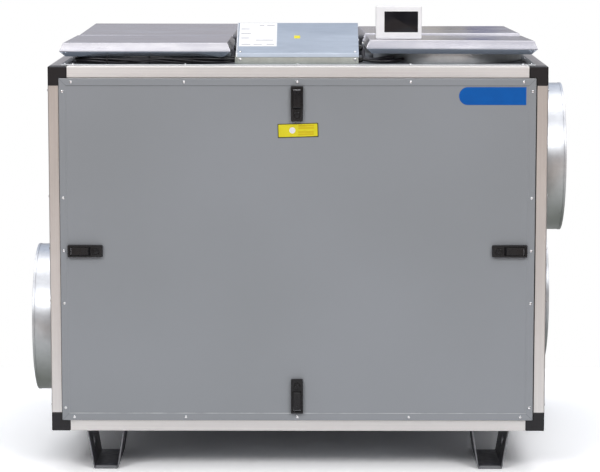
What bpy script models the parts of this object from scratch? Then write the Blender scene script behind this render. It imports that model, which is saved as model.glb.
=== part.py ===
"""Air handling unit on four feet: a framed casing with a lift-off front panel, round duct
collars on its sides and top, loose lids over the top collars, a sloped control box and a
touch panel.

Metres, +Z up, the front faces -Y. The origin is on the floor under the middle of the unit.
"""

import math

import bmesh
import bpy
from mathutils import Matrix, Vector

# Casing
WIDTH = 1.310
DEPTH = 1.030
HEIGHT = 0.970
LEG_HEIGHT = 0.110
PROFILE = 0.050
PROFILE_WALL = 0.0025
PROFILE_ROUND = 0.0025
STUB_LENGTH = 0.030
GAP = 0.0003
CUT_PAST = 0.010

# Panels
MARGIN = 0.0305
SKIN = 0.003
BORDER = 0.0185
SUNK = 0.0012
PANEL_DEPTH = 0.046
PLUG_CLEARANCE = 0.002
GASKET = 0.003
GASKET_LAP = 0.0005
GASKET_OVER_FRAME = 0.002
PANEL_ROUND = 0.0015
DOOR_SKIN = 0.006
DOOR_SHIFT = -0.0015

# Duct collars
COLLAR_RADIUS = 0.200
COLLAR_WALL = 0.0015
COLLAR_FLANGE = 0.012
FLANGE_SHEET = 0.002
COLLAR_PAST_PANEL = 0.002
COLLAR_REACH = 0.0585
TOP_COLLAR_REACH = 0.052
COLLAR_FROM_EDGE = 0.263
COLLAR_FROM_FRONT = 0.286
COLLAR_SEGMENTS = 48
HEM = (0.006, 0.0008)

# Lids over the top collars
LID_X = 0.404
LID_SHEET = 0.0015
LID_RINGS = ((0.434, 0.000), (0.452, -0.0222), (0.421, -0.036))
# Each lid's height above the casing, its slopes down to the back and to the right, how far it
# lies off the middle of its collar, and its turn in degrees seen from above
LID_REST = {
    "left_front": (0.0558, 0.0083, 0.0, (0.0, 0.0), 0.0),
    "left_rear": (0.0596, -0.0175, 0.0, (0.007, 0.008), -1.48),
    "right_front": (0.0595, 0.0233, 0.0057, (0.002, 0.0), 0.0),
    "right_rear": (0.0570, 0.0055, 0.0, (-0.007, 0.008), 1.48),
}

# Control box
BOX_WIDTH = 0.319
BOX_FRONT = 0.076
BOX_BACK = 0.250
BOX_FRONT_HEIGHT = 0.020
BOX_CHAMFER = (0.007, 0.010)
BOX_BACK_HEIGHT = 0.1015
COVER_SHEET = 0.002
COVER_LAP = 0.001

# Touch panel
TOUCH_SIZE = (0.122, 0.024, 0.0885)
TOUCH_X = 0.267
TOUCH_FROM_FRONT = 0.120
TOUCH_BASE = 0.0648
SCREEN_SIZE = (0.087, 0.0527)
SCREEN_CENTRE = (0.005, 0.0465)
SCREEN_POCKET = 0.003
SCREEN_SUNK = 0.0008
TOUCH_ROUND = 0.004

# Cables and conduits on the top: places are (x, back from the front, up from the top)
ENTRY_LOW = (-0.167, 0.088, 0.0021)
ENTRY_HIGH = (-0.158, 0.112, 0.0235)
GLAND_LENGTH = 0.007
GLAND_RADIUS = 0.0080
SMALL_GLAND_RADIUS = 0.0070
CONDUIT_RADIUS = 0.0055
CONDUIT_GLAND = (0.1595, 0.150, 0.040)
CABLE_RADIUS = 0.004
CABLE_GLAND = (0.1595, 0.102, 0.0115)
STRAND_OFFSETS = ((-0.0046, -0.0044), (0.0046, -0.0044), (-0.0046, 0.0044), (0.0046, 0.0044))
BUNDLE_ROUTE = (
    (-0.1675, 0.1000, 0.0125), (-0.1760, 0.1000, 0.0125), (-0.1950, 0.0950, 0.0116),
    (-0.2150, 0.0850, 0.0110), (-0.2400, 0.0765, 0.0110), (-0.2800, 0.0725, 0.0108),
    (-0.3300, 0.0710, 0.0110), (-0.3800, 0.0720, 0.0113), (-0.4300, 0.0705, 0.0110),
    (-0.4800, 0.0715, 0.0107), (-0.5250, 0.0740, 0.0109), (-0.5600, 0.0840, 0.0110),
    (-0.5820, 0.1050, 0.0110), (-0.5860, 0.1300, 0.0118), (-0.5750, 0.1486, 0.0130),
    (-0.5605, 0.1602, 0.0135),
)
TIE_STEPS = (0.24, 0.46, 0.68)
TIE_SIZE = (0.0040, 0.0180, 0.0174)
CONDUIT_ROUTE = (
    (0.1668, 0.1500, 0.0400), (0.1700, 0.1500, 0.0400), (0.1724, 0.1495, 0.0368),
    (0.1730, 0.1480, 0.0290), (0.1735, 0.1445, 0.0215), (0.1755, 0.1390, 0.0150),
    (0.1820, 0.1320, 0.0115), (0.1930, 0.1260, 0.0105), (0.2070, 0.1240, 0.0110),
    (0.2210, 0.1290, 0.0125), (0.2360, 0.1403, 0.0140), (0.2522, 0.1543, 0.0150),
)
CABLE_ROUTE = (
    (0.1668, 0.1020, 0.0115), (0.1740, 0.1020, 0.0115), (0.1880, 0.1000, 0.0102),
    (0.2050, 0.0950, 0.0085), (0.2250, 0.0920, 0.0080), (0.2450, 0.0960, 0.0085),
    (0.2610, 0.1070, 0.0100), (0.2714, 0.1197, 0.0115), (0.2789, 0.1291, 0.0120),
)

# Feet
FOOT_X = 0.514
FOOT_TOP = 0.101
FOOT_SOLE = 0.065
FOOT_DEPTH = 0.235
FOOT_SHEET = 0.003
FOOT_BEND = 0.0035
FOOT_LIP = 0.024
FOOT_FROM_EDGE = 0.030
FOOT_HOLE = (0.100, 0.056)
FOOT_HOLE_RADIUS = 0.016

# Latches: lengths run from the outer end, heights up from the panel
LATCH_LENGTH = 0.092
LATCH_WIDTH = 0.0325
LATCH_TAPER = (0.050, 0.0015)
LATCH_ROUND = 0.0022
LATCH_HEIGHT = 0.012
LATCH_EDGE = 0.0010
LATCH_INSET = 0.0015
LATCH_X = -0.0025
POCKET_WIDTH = 0.023
POCKET = (0.0050, 0.0600)
POCKET_FLOOR = 0.0025
PIVOT = (0.0105, 0.0075)
PIVOT_RADIUS = 0.0043
LEVER_CLEARANCE = 0.0011
LEVER_END = 0.0588
LEVER_TOP = 0.0130
FINGER_EDGE = (0.0040, 0.0030)
LEVER_HEEL = 0.0100
LOCK_X = 0.0740
LOCK_RADIUS = 0.0090
LOCK_WELL = (0.0112, 0.0030)
LOCK_RISE = 0.0012
LOCK_FOOT = 0.001
KEYWAY = (0.0024, 0.0080, 0.0020)

# Worked out from the sizes above
LATCH_PROUD = GASKET + DOOR_SKIN - SUNK + GAP + LATCH_HEIGHT + LOCK_RISE
CENTRE_Y = (LATCH_PROUD - SKIN) / 2
FRONT = CENTRE_Y - DEPTH / 2
BACK = CENTRE_Y + DEPTH / 2
BOTTOM = LEG_HEIGHT
TOP = LEG_HEIGHT + HEIGHT
MIDDLE_Z = (BOTTOM + TOP) / 2
DOOR_FACE = FRONT - GASKET - DOOR_SKIN
COLLAR_LOW = BOTTOM + COLLAR_FROM_EDGE
COLLAR_HIGH = TOP - COLLAR_FROM_EDGE
COLLAR_YS = {"front": FRONT + COLLAR_FROM_FRONT, "rear": BACK - COLLAR_FROM_FRONT}

COLOURS = {
    "anodised": ((0.62, 0.60, 0.57), 0.38, 0.9),
    "corner": ((0.018, 0.018, 0.020), 0.45, 0.0),
    "panel": ((0.27, 0.29, 0.31), 0.42, 0.5),
    "galvanised": ((0.58, 0.60, 0.62), 0.30, 1.0),
    "control": ((0.42, 0.45, 0.55), 0.45, 0.2),
    "black_plastic": ((0.014, 0.014, 0.016), 0.40, 0.0),
    "conduit": ((0.20, 0.20, 0.22), 0.50, 0.0),
    "rubber": ((0.02, 0.02, 0.02), 0.80, 0.0),
    "white_plastic": ((0.80, 0.80, 0.81), 0.35, 0.0),
    "screen": ((0.01, 0.01, 0.012), 0.10, 0.0),
    "foot": ((0.045, 0.045, 0.05), 0.40, 0.6),
}


def new_collection(name):
    made = bpy.data.collections.new(name)
    bpy.context.scene.collection.children.link(made)
    return made


for leftover in list(bpy.data.objects):
    bpy.data.objects.remove(leftover)
PARTS = new_collection("air_handling_unit")
CUTTERS = new_collection("cutters")


def material(name):
    """The Principled material of that name, made the first time it is asked for."""
    if name in bpy.data.materials:
        return bpy.data.materials[name]
    colour, roughness, metallic = COLOURS[name]
    made = bpy.data.materials.new(name)
    made.use_nodes = True
    shader = made.node_tree.nodes["Principled BSDF"]
    shader.inputs["Base Color"].default_value = (*colour, 1.0)
    shader.inputs["Roughness"].default_value = roughness
    shader.inputs["Metallic"].default_value = metallic
    return made


def add_object(name, data, finish=None, cutter=False):
    made = bpy.data.objects.new(name, data)
    (CUTTERS if cutter else PARTS).objects.link(made)
    if cutter:
        made.hide_render = True
        made.display_type = "WIRE"
    if finish:
        data.materials.append(material(finish))
    return made


def mesh_of(name, bm):
    mesh = bpy.data.meshes.new(name)
    bm.to_mesh(mesh)
    bm.free()
    return mesh


def box(name, low, high, finish=None, cutter=False):
    """A box between two opposite corners, with its origin in its middle."""
    low, high = (Vector(pick(*pair) for pair in zip(low, high)) for pick in (min, max))
    bm = bmesh.new()
    bmesh.ops.create_cube(bm, size=1.0, matrix=Matrix.Diagonal((*(high - low), 1.0)))
    made = add_object(name, mesh_of(name, bm), finish, cutter)
    made.location = (low + high) / 2
    return made


def bevel(obj, width, segments=2, angle=30):
    modifier = obj.modifiers.new("rounded_edges", "BEVEL")
    modifier.width = width
    modifier.segments = segments
    modifier.limit_method = "ANGLE"
    modifier.angle_limit = math.radians(angle)
    return modifier


def boolean(obj, operation, other):
    modifier = obj.modifiers.new(operation.lower(), "BOOLEAN")
    modifier.operation = operation
    modifier.object = other
    return modifier


def outline(name, points, half_thickness, finish=None, hole=None):
    """A closed flat outline in the object's XY plane, thickened along its Z."""
    curve = bpy.data.curves.new(name, "CURVE")
    curve.dimensions = "2D"
    curve.fill_mode = "BOTH"
    curve.extrude = half_thickness
    for loop in filter(None, (points, hole)):
        spline = curve.splines.new("POLY")
        spline.points.add(len(loop) - 1)
        for point, (x, y) in zip(spline.points, loop):
            point.co = (x, y, 0.0, 1.0)
        spline.use_cyclic_u = True
    return add_object(name, curve, finish)


def bend(before, at, after, radius, steps):
    """The arc that rounds the corner at, as places along it with their directions."""
    into, out = (at - before).normalized(), (after - at).normalized()
    turn = math.atan2(into.x * out.y - into.y * out.x, into.dot(out))
    start = at - into * radius * abs(math.tan(turn / 2))
    inward = math.copysign(radius, turn) * Vector((-into.y, into.x))
    for i in range(steps + 1):
        step = Matrix.Rotation(turn * i / steps, 2)
        yield start + inward - step @ inward, step @ into


def rounded(corners, radius, steps=3):
    """An outline with each of its corners rounded."""
    corners = [Vector(c) for c in corners]
    last = corners[-1:] + corners[:-1]
    following = corners[1:] + corners[:1]
    return [place for around in zip(last, corners, following)
            for place, _ in bend(*around, radius, steps)]


def bent_sheet(corners, thickness, radius, steps=3):
    """The outline of a sheet whose middle runs along the corners, rounded at each bend."""
    corners = [Vector(c) for c in corners]
    line = [(corners[0], (corners[1] - corners[0]).normalized())]
    for around in zip(corners, corners[1:], corners[2:]):
        line += bend(*around, radius, steps)
    line.append((corners[-1], (corners[-1] - corners[-2]).normalized()))
    sides = [Vector((-d.y, d.x)) * thickness / 2 for _, d in line]
    there = [place + side for (place, _), side in zip(line, sides)]
    back = [place - side for (place, _), side in zip(line, sides)]
    return there + back[::-1]


def square(half):
    return [(half, half), (-half, half), (-half, -half), (half, -half)]


def turned_to(x_axis, y_axis, z_axis):
    """The rotation that lays an object's own axes along these."""
    return Matrix((x_axis, y_axis, z_axis)).transposed().to_euler()


def round_bar(name, radius, depth, cutter=False, finish=None, segments=COLLAR_SEGMENTS):
    """A closed cylinder along its own Z."""
    bm = bmesh.new()
    bmesh.ops.create_cone(bm, cap_ends=True, segments=segments, radius1=radius,
                          radius2=radius, depth=depth)
    return add_object(name, mesh_of(name, bm), finish, cutter)


def tube(name, points, radius, finish, resolution=2):
    """A round cable through the points, with its ends capped."""
    curve = bpy.data.curves.new(name, "CURVE")
    curve.dimensions = "3D"
    curve.bevel_depth = radius
    curve.bevel_resolution = resolution
    curve.use_fill_caps = True
    spline = curve.splines.new("POLY")
    spline.points.add(len(points) - 1)
    for point, place in zip(spline.points, points):
        point.co = (*place, 1.0)
    return add_object(name, curve, finish)


def smooth_route(knots, spacing):
    """Points a spacing apart along a smooth curve through the knots."""
    knots = [Vector(k) for k in knots]
    ends = [2 * knots[0] - knots[1]] + knots + [2 * knots[-1] - knots[-2]]
    points = []
    for before, a, b, after in zip(ends, ends[1:], ends[2:], ends[3:]):
        steps = max(1, round((b - a).length / spacing))
        for i in range(steps):
            t = i / steps
            points.append(0.5 * (2 * a + (b - before) * t
                                 + (2 * before - 5 * a + 4 * b - after) * t ** 2
                                 + (3 * a - before - 3 * b + after) * t ** 3))
    return points + [knots[-1]]


def on_top(place):
    """The world place of a point given as (x, back from the front, up from the top)."""
    x, back, up = place
    return Vector((x, FRONT + back, TOP + up))


def to_cutter(obj):
    """Moves an object to the cutters."""
    for collection in obj.users_collection:
        collection.objects.unlink(obj)
    CUTTERS.objects.link(obj)
    obj.hide_render = True
    obj.display_type = "WIRE"


def as_mesh(obj):
    """The object remade as a welded mesh, so that it can take a Boolean."""
    bpy.context.view_layer.update()
    graph = bpy.context.evaluated_depsgraph_get()
    mesh = bpy.data.meshes.new_from_object(obj.evaluated_get(graph))
    bm = bmesh.new()
    bm.from_mesh(mesh)
    bmesh.ops.remove_doubles(bm, verts=bm.verts, dist=0.00002)
    bmesh.ops.recalc_face_normals(bm, faces=bm.faces)
    bm.to_mesh(mesh)
    bm.free()
    name, matrix, collection = obj.name, obj.matrix_world.copy(), obj.users_collection[0]
    bpy.data.objects.remove(obj)
    mesh.name = name
    made = bpy.data.objects.new(name, mesh)
    made.matrix_world = matrix
    collection.objects.link(made)
    return made


def arc(centre, radius, start, end, steps):
    """Points along an arc, from one angle to another in degrees."""
    angles = (math.radians(start + (end - start) * i / steps) for i in range(steps + 1))
    return [(centre[0] + radius * math.cos(a), centre[1] + radius * math.sin(a)) for a in angles]


# Frame: twelve hollow extrusions, pushed over the stubs of eight moulded corners


def extrusion(name, centre, length, x_axis, y_axis, z_axis):
    outside = rounded(square(PROFILE / 2), PROFILE_ROUND)
    bar = outline(name, outside, length / 2, "anodised", square(PROFILE / 2 - PROFILE_WALL))
    bar.location = centre
    bar.rotation_euler = turned_to(x_axis, y_axis, z_axis)
    return bar


def corner(name, outer, inward):
    """A moulded cube whose outermost corner is at outer, with a stub into each extrusion."""
    outer, inward = Vector(outer), Vector(inward)
    cube = box(name, outer, outer + inward * PROFILE, "corner")
    bevel(cube, PROFILE_ROUND)
    middle = outer + inward * PROFILE / 2
    half = PROFILE / 2 - PROFILE_WALL - GAP
    for axis in range(3):
        low = middle - Vector((half,) * 3)
        high = middle + Vector((half,) * 3)
        low[axis] = middle[axis]
        high[axis] = middle[axis] + inward[axis] * (PROFILE / 2 + STUB_LENGTH)
        boolean(cube, "UNION", box(f"{name}_stub_{'xyz'[axis]}", low, high, cutter=True))


def frame():
    xs = (("left", -WIDTH / 2, 1), ("right", WIDTH / 2, -1))
    ys = (("front", FRONT, 1), ("back", BACK, -1))
    zs = (("bottom", BOTTOM, 1), ("top", TOP, -1))
    x_axis, y_axis, z_axis = Vector((1, 0, 0)), Vector((0, 1, 0)), Vector((0, 0, 1))
    middle_y = (FRONT + BACK) / 2
    between = 2 * (PROFILE + GAP)
    half = PROFILE / 2
    for side, x, to_x in xs:
        for face, y, to_y in ys:
            for level, z, to_z in zs:
                corner(f"corner_{level}_{face}_{side}", (x, y, z), (to_x, to_y, to_z))
    for face, y, to_y in ys:
        for level, z, to_z in zs:
            extrusion(f"rail_{level}_{face}", (0, y + to_y * half, z + to_z * half),
                      WIDTH - between, y_axis, z_axis, x_axis)
    for side, x, to_x in xs:
        for level, z, to_z in zs:
            extrusion(f"rail_{level}_{side}", (x + to_x * half, middle_y, z + to_z * half),
                      DEPTH - between, z_axis, x_axis, y_axis)
    for side, x, to_x in xs:
        for face, y, to_y in ys:
            extrusion(f"post_{face}_{side}", (x + to_x * half, y + to_y * half, MIDDLE_Z),
                      HEIGHT - between, x_axis, y_axis, z_axis)


# Panels: a sheet that laps over the frame, backed by an insulated plug in the opening


def panel(name, centre, normal, width, height, skin, stand_off=0.0, holes=()):
    """A panel on the frame's face at centre, facing along normal. In its own axes X runs
    along its width, Y up its height and Z out of it; holes are (x, y) centres there."""
    lap_w, lap_h = width - 2 * MARGIN, height - 2 * MARGIN
    plug_w = width - 2 * (PROFILE + PLUG_CLEARANCE)
    plug_h = height - 2 * (PROFILE + PLUG_CLEARANCE)
    under = stand_off + GAP
    face = stand_off + skin
    sheet = box(name, (-lap_w / 2, -lap_h / 2, under), (lap_w / 2, lap_h / 2, face), "panel")
    bevel(sheet, PANEL_ROUND)
    helpers = [
        ("UNION", box(f"{name}_plug", (-plug_w / 2, -plug_h / 2, -PANEL_DEPTH),
                      (plug_w / 2, plug_h / 2, (under + face) / 2), cutter=True)),
        ("DIFFERENCE", box(f"{name}_field", (-lap_w / 2 + BORDER, -lap_h / 2 + BORDER, face - SUNK),
                           (lap_w / 2 - BORDER, lap_h / 2 - BORDER, face + CUT_PAST),
                           cutter=True)),
    ]
    for number, (x, y) in enumerate(holes):
        hole = round_bar(f"{name}_hole_{number}", COLLAR_RADIUS + GAP * 2,
                         2 * (PANEL_DEPTH + CUT_PAST), cutter=True)
        hole.location = (x, y, 0)
        helpers.append(("DIFFERENCE", hole))
    stand = bpy.data.objects.new(f"{name}_place", None)
    PARTS.objects.link(stand)
    stand.location = centre
    up = Vector((0, 0, 1)) if abs(normal[2]) < 0.5 else Vector((0, 1, 0))
    out = Vector(normal)
    stand.rotation_euler = turned_to(up.cross(out), up, out)
    for operation, helper in helpers:
        boolean(sheet, operation, helper)
        helper.parent = stand
    sheet.parent = stand
    return sheet


def panels():
    half = WIDTH / 2
    middle = (FRONT + BACK) / 2
    low = COLLAR_LOW - MIDDLE_Z
    high = COLLAR_HIGH - MIDDLE_Z
    front_y = COLLAR_YS["front"] - middle
    rear_y = COLLAR_YS["rear"] - middle
    panel("front_panel", (DOOR_SHIFT, FRONT, MIDDLE_Z), (0, -1, 0), WIDTH, HEIGHT,
          DOOR_SKIN, GASKET)
    panel("back_panel", (0, BACK, MIDDLE_Z), (0, 1, 0), WIDTH, HEIGHT, SKIN)
    panel("left_panel", (-half, middle, MIDDLE_Z), (-1, 0, 0), DEPTH, HEIGHT, SKIN,
          holes=[(-front_y, low)])
    panel("right_panel", (half, middle, MIDDLE_Z), (1, 0, 0), DEPTH, HEIGHT, SKIN,
          holes=[(front_y, high), (rear_y, low)])
    panel("top_panel", (0, middle, TOP), (0, 0, 1), WIDTH, DEPTH, SKIN)
    floor_x = half - PROFILE - PLUG_CLEARANCE
    floor_y = DEPTH / 2 - PROFILE - PLUG_CLEARANCE
    box("bottom_panel", (-floor_x, middle - floor_y, BOTTOM + GAP),
        (floor_x, middle + floor_y, BOTTOM + PANEL_DEPTH), "panel")
    gasket()


def gasket():
    """The rubber strip between the frame and the front panel's lap."""
    lap_w = WIDTH / 2 - MARGIN + GASKET_LAP
    lap_h = HEIGHT / 2 - MARGIN + GASKET_LAP
    ring = box("door_gasket", (-lap_w, FRONT - GASKET, MIDDLE_Z - lap_h),
               (lap_w, FRONT - GAP, MIDDLE_Z + lap_h), "rubber")
    inside_w = WIDTH / 2 - PROFILE + GASKET_OVER_FRAME
    inside_h = HEIGHT / 2 - PROFILE + GASKET_OVER_FRAME
    opening = box("door_gasket_opening", (-inside_w, FRONT - CUT_PAST, MIDDLE_Z - inside_h),
                  (inside_w, FRONT + CUT_PAST, MIDDLE_Z + inside_h), cutter=True)
    boolean(ring, "DIFFERENCE", opening)


# Collars: turned from one profile, a tube with a flat flange


def collar(name, centre, normal, top, inner_end=None):
    """A round collar on the sheet at centre, open along normal and top high, with a hemmed
    rim. With an inner_end it has a flange and its tube reaches back through the panel."""
    outer, inner = COLLAR_RADIUS, COLLAR_RADIUS - COLLAR_WALL
    sheet = SKIN - SUNK + GAP
    flange = COLLAR_RADIUS + COLLAR_FLANGE
    hem_length, hem_rise = HEM
    points = [(inner, top), (outer + hem_rise, top), (outer + hem_rise, top - hem_length),
              (outer, top - hem_length - hem_rise)]
    if inner_end is None:
        points += [(outer, sheet), (inner, sheet)]
    else:
        points += [(outer, sheet + FLANGE_SHEET), (flange, sheet + FLANGE_SHEET),
                   (flange, sheet), (outer, sheet), (outer, inner_end), (inner, inner_end)]
    bm = bmesh.new()
    verts = [bm.verts.new((r, 0, z)) for r, z in points]
    for a, b in zip(verts, verts[1:] + verts[:1]):
        bm.edges.new((b, a))
    made = add_object(name, mesh_of(name, bm), "galvanised")
    turn = made.modifiers.new("turned", "SCREW")
    turn.steps = turn.render_steps = COLLAR_SEGMENTS
    turn.use_merge_vertices = True
    turn.merge_threshold = 0.00001
    turn.use_normal_flip = True
    made.location = centre
    made.rotation_euler = Vector((0, 0, 1)).rotation_difference(Vector(normal)).to_euler()
    return made


def collars():
    half = WIDTH / 2
    through = -PANEL_DEPTH - COLLAR_PAST_PANEL
    for name, x, row, z in (("left_front", -half, "front", COLLAR_LOW),
                            ("right_front", half, "front", COLLAR_HIGH),
                            ("right_rear", half, "rear", COLLAR_LOW)):
        collar(f"collar_{name}", (x, COLLAR_YS[row], z), (math.copysign(1, x), 0, 0),
               COLLAR_REACH, through)
    for side, x in (("left", -LID_X), ("right", LID_X)):
        for row, y in COLLAR_YS.items():
            collar(f"collar_top_{side}_{row}", (x, y, TOP), (0, 0, 1), TOP_COLLAR_REACH)


# Lids: a folded sheet tray, upside down over each top collar


def lid(place, x, y):
    rest, back, right, (off_x, off_y), turn = LID_REST[place]
    bm = bmesh.new()
    (first, height), *others = LID_RINGS
    bmesh.ops.create_grid(bm, x_segments=1, y_segments=1, size=first / 2,
                          matrix=Matrix.Translation((0, 0, height)))
    width = first
    for next_width, next_height in others:
        edges = [e for e in bm.edges if e.is_boundary]
        grown = bmesh.ops.extrude_edge_only(bm, edges=edges)["geom"]
        verts = [g for g in grown if isinstance(g, bmesh.types.BMVert)]
        bmesh.ops.translate(bm, verts=verts, vec=(0, 0, next_height - height))
        bmesh.ops.scale(bm, verts=verts, vec=(next_width / width, next_width / width, 1))
        width, height = next_width, next_height
    bmesh.ops.recalc_face_normals(bm, faces=bm.faces)
    made = add_object(f"lid_{place}", mesh_of(f"lid_{place}", bm), "galvanised")
    sheet = made.modifiers.new("sheet", "SOLIDIFY")
    sheet.thickness = LID_SHEET
    sheet.offset = -1
    sheet.use_even_offset = True
    made.location = (x + off_x, y + off_y, TOP + rest)
    made.rotation_euler = (-math.atan(back), math.atan(right), math.radians(turn))
    return made


def lids():
    for side, x in (("left", -LID_X), ("right", LID_X)):
        for row, y in COLLAR_YS.items():
            lid(f"{side}_{row}", x, y)


# Control box: a wedge with a bent cover, and the cable entries on its sides


def control_box():
    base_z = SKIN - SUNK + GAP
    back_y, step_back = BOX_CHAMFER
    chamfer = (BOX_FRONT + back_y, BOX_FRONT_HEIGHT + step_back)
    slope = (BOX_BACK_HEIGHT - chamfer[1]) / (BOX_BACK - chamfer[0])
    drop = COVER_SHEET * math.hypot(1, slope)
    inner_front = chamfer[1] - drop

    def stand_up(obj):
        """Stands the side outline on the casing: its X runs back and its Y up."""
        obj.rotation_euler = turned_to((0, 1, 0), (0, 0, 1), (1, 0, 0))
        obj.location = (0, FRONT, TOP)

    base = outline("control_box", [
        (BOX_FRONT, base_z),
        (BOX_BACK, base_z),
        (BOX_BACK, BOX_BACK_HEIGHT - drop - GAP),
        (chamfer[0], inner_front - GAP),
        (BOX_FRONT + COVER_LAP, BOX_FRONT_HEIGHT - GAP),
        (BOX_FRONT, BOX_FRONT_HEIGHT - GAP),
    ], BOX_WIDTH / 2, "control")
    stand_up(base)
    base = as_mesh(base)
    entry = box("cable_entry", on_top(ENTRY_LOW), on_top(ENTRY_HIGH), cutter=True)
    boolean(base, "UNION", entry)
    left_gland = (-CONDUIT_GLAND[0],) + CONDUIT_GLAND[1:]
    glands = (("conduit_gland_right", CONDUIT_GLAND, GLAND_RADIUS),
              ("conduit_gland_left", left_gland, GLAND_RADIUS),
              ("cable_gland_right", CABLE_GLAND, SMALL_GLAND_RADIUS))
    for name, place, radius in glands:
        gland = round_bar(name, radius, GLAND_LENGTH * 2, cutter=True, segments=6)
        gland.location = on_top(place)
        gland.rotation_euler = (0, math.pi / 2, 0)
        boolean(base, "UNION", gland)
    cover = outline("control_cover", [
        (BOX_FRONT - COVER_LAP, BOX_FRONT_HEIGHT),
        chamfer,
        (BOX_BACK, BOX_BACK_HEIGHT),
        (BOX_BACK, BOX_BACK_HEIGHT - drop),
        (chamfer[0], inner_front),
        (BOX_FRONT + COVER_LAP, BOX_FRONT_HEIGHT),
    ], BOX_WIDTH / 2 + COVER_LAP, "control")
    stand_up(cover)


# Cables: a tied bundle to the left, a conduit on each side and a cable to the right


def cables():
    for side, name in ((1, "conduit_right"), (-1, "conduit_left")):
        route = [on_top((side * x, back, up)) for x, back, up in CONDUIT_ROUTE]
        tube(name, smooth_route(route, CONDUIT_RADIUS * 1.5), CONDUIT_RADIUS, "conduit")
    route = [on_top(place) for place in CABLE_ROUTE]
    tube("cable_right", smooth_route(route, CABLE_RADIUS * 2), CABLE_RADIUS, "black_plastic")
    cable_bundle()


def cable_bundle():
    """Strands side by side along one route, joined by the ties around them."""
    route = smooth_route([on_top(place) for place in BUNDLE_ROUTE], CABLE_RADIUS * 5)
    ahead = [(b - a).normalized() for a, b in zip(route, route[1:] + route[-1:])]
    ahead[-1] = ahead[-2]
    across = [Vector((-d.y, d.x, 0)).normalized() for d in ahead]
    up = Vector((0, 0, 1))
    bundle = None
    for number, (aside, above) in enumerate(STRAND_OFFSETS):
        places = [p + side * aside + up * above for p, side in zip(route, across)]
        strand = as_mesh(tube(f"strand_{number}", places, CABLE_RADIUS, "black_plastic", 1))
        if bundle is None:
            bundle = strand
            bundle.name = "cable_bundle"
        else:
            to_cutter(strand)
            boolean(bundle, "UNION", strand)
    for number, share in enumerate(TIE_STEPS):
        at = round(share * (len(route) - 1))
        tie = box(f"cable_tie_{number}", [-size / 2 for size in TIE_SIZE],
                  [size / 2 for size in TIE_SIZE], cutter=True)
        tie.location = route[at]
        tie.rotation_euler = turned_to(up.cross(across[at]) * -1, across[at], up)
        boolean(bundle, "UNION", tie)


# Touch panel standing on the right front lid


def touch_panel():
    width, thickness, height = TOUCH_SIZE
    base = TOP + TOUCH_BASE
    front = FRONT + TOUCH_FROM_FRONT
    housing = box("touch_panel", (TOUCH_X - width / 2, front, base),
                  (TOUCH_X + width / 2, front + thickness, base + height), "white_plastic")
    bevel(housing, TOUCH_ROUND, 3)
    x = TOUCH_X + SCREEN_CENTRE[0]
    z = base + SCREEN_CENTRE[1]
    half_w, half_h = SCREEN_SIZE[0] / 2, SCREEN_SIZE[1] / 2
    pocket = box("touch_panel_pocket", (x - half_w, front - CUT_PAST, z - half_h),
                 (x + half_w, front + SCREEN_POCKET, z + half_h), cutter=True)
    boolean(housing, "DIFFERENCE", pocket)
    box("touch_screen", (x - half_w + GAP, front + SCREEN_SUNK, z - half_h + GAP),
        (x + half_w - GAP, front + SCREEN_POCKET - GAP, z + half_h - GAP), "screen")


# Feet: bent channels with splayed sides


def foot(name, x, front):
    top = LEG_HEIGHT - GAP
    splay = (FOOT_TOP - FOOT_SOLE) / 2 / top
    inset = FOOT_SHEET / 2 * math.hypot(1, splay)
    low, high = FOOT_SHEET / 2, top - FOOT_SHEET / 2
    sole = FOOT_SOLE / 2 + splay * low - inset
    wall = FOOT_SOLE / 2 + splay * high - inset
    lip = FOOT_TOP / 2 - FOOT_LIP
    middle = [(-lip, high), (-wall, high), (-sole, low), (sole, low), (wall, high), (lip, high)]
    made = outline(name, bent_sheet(middle, FOOT_SHEET, FOOT_BEND), FOOT_DEPTH / 2, "foot")
    made.rotation_euler = (math.pi / 2, 0, 0)
    made.location = (x, front + FOOT_DEPTH / 2, 0)
    made = as_mesh(made)
    back, up = FOOT_HOLE
    hole = round_bar(f"{name}_hole", FOOT_HOLE_RADIUS, FOOT_TOP * 1.5, cutter=True, segments=24)
    from_front = back if front < 0 else FOOT_DEPTH - back
    hole.location = (x, front + from_front, up)
    hole.rotation_euler = (0, math.pi / 2, 0)
    boolean(made, "DIFFERENCE", hole)
    return made


def feet():
    rows = {"front": FRONT + FOOT_FROM_EDGE, "rear": BACK - FOOT_FROM_EDGE - FOOT_DEPTH}
    for side, x in (("left", -FOOT_X), ("right", FOOT_X)):
        for row, front in rows.items():
            foot(f"foot_{row}_{side}", x, front)


# Latches: a housing with a pocket, and a lever that swings out of it


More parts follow.
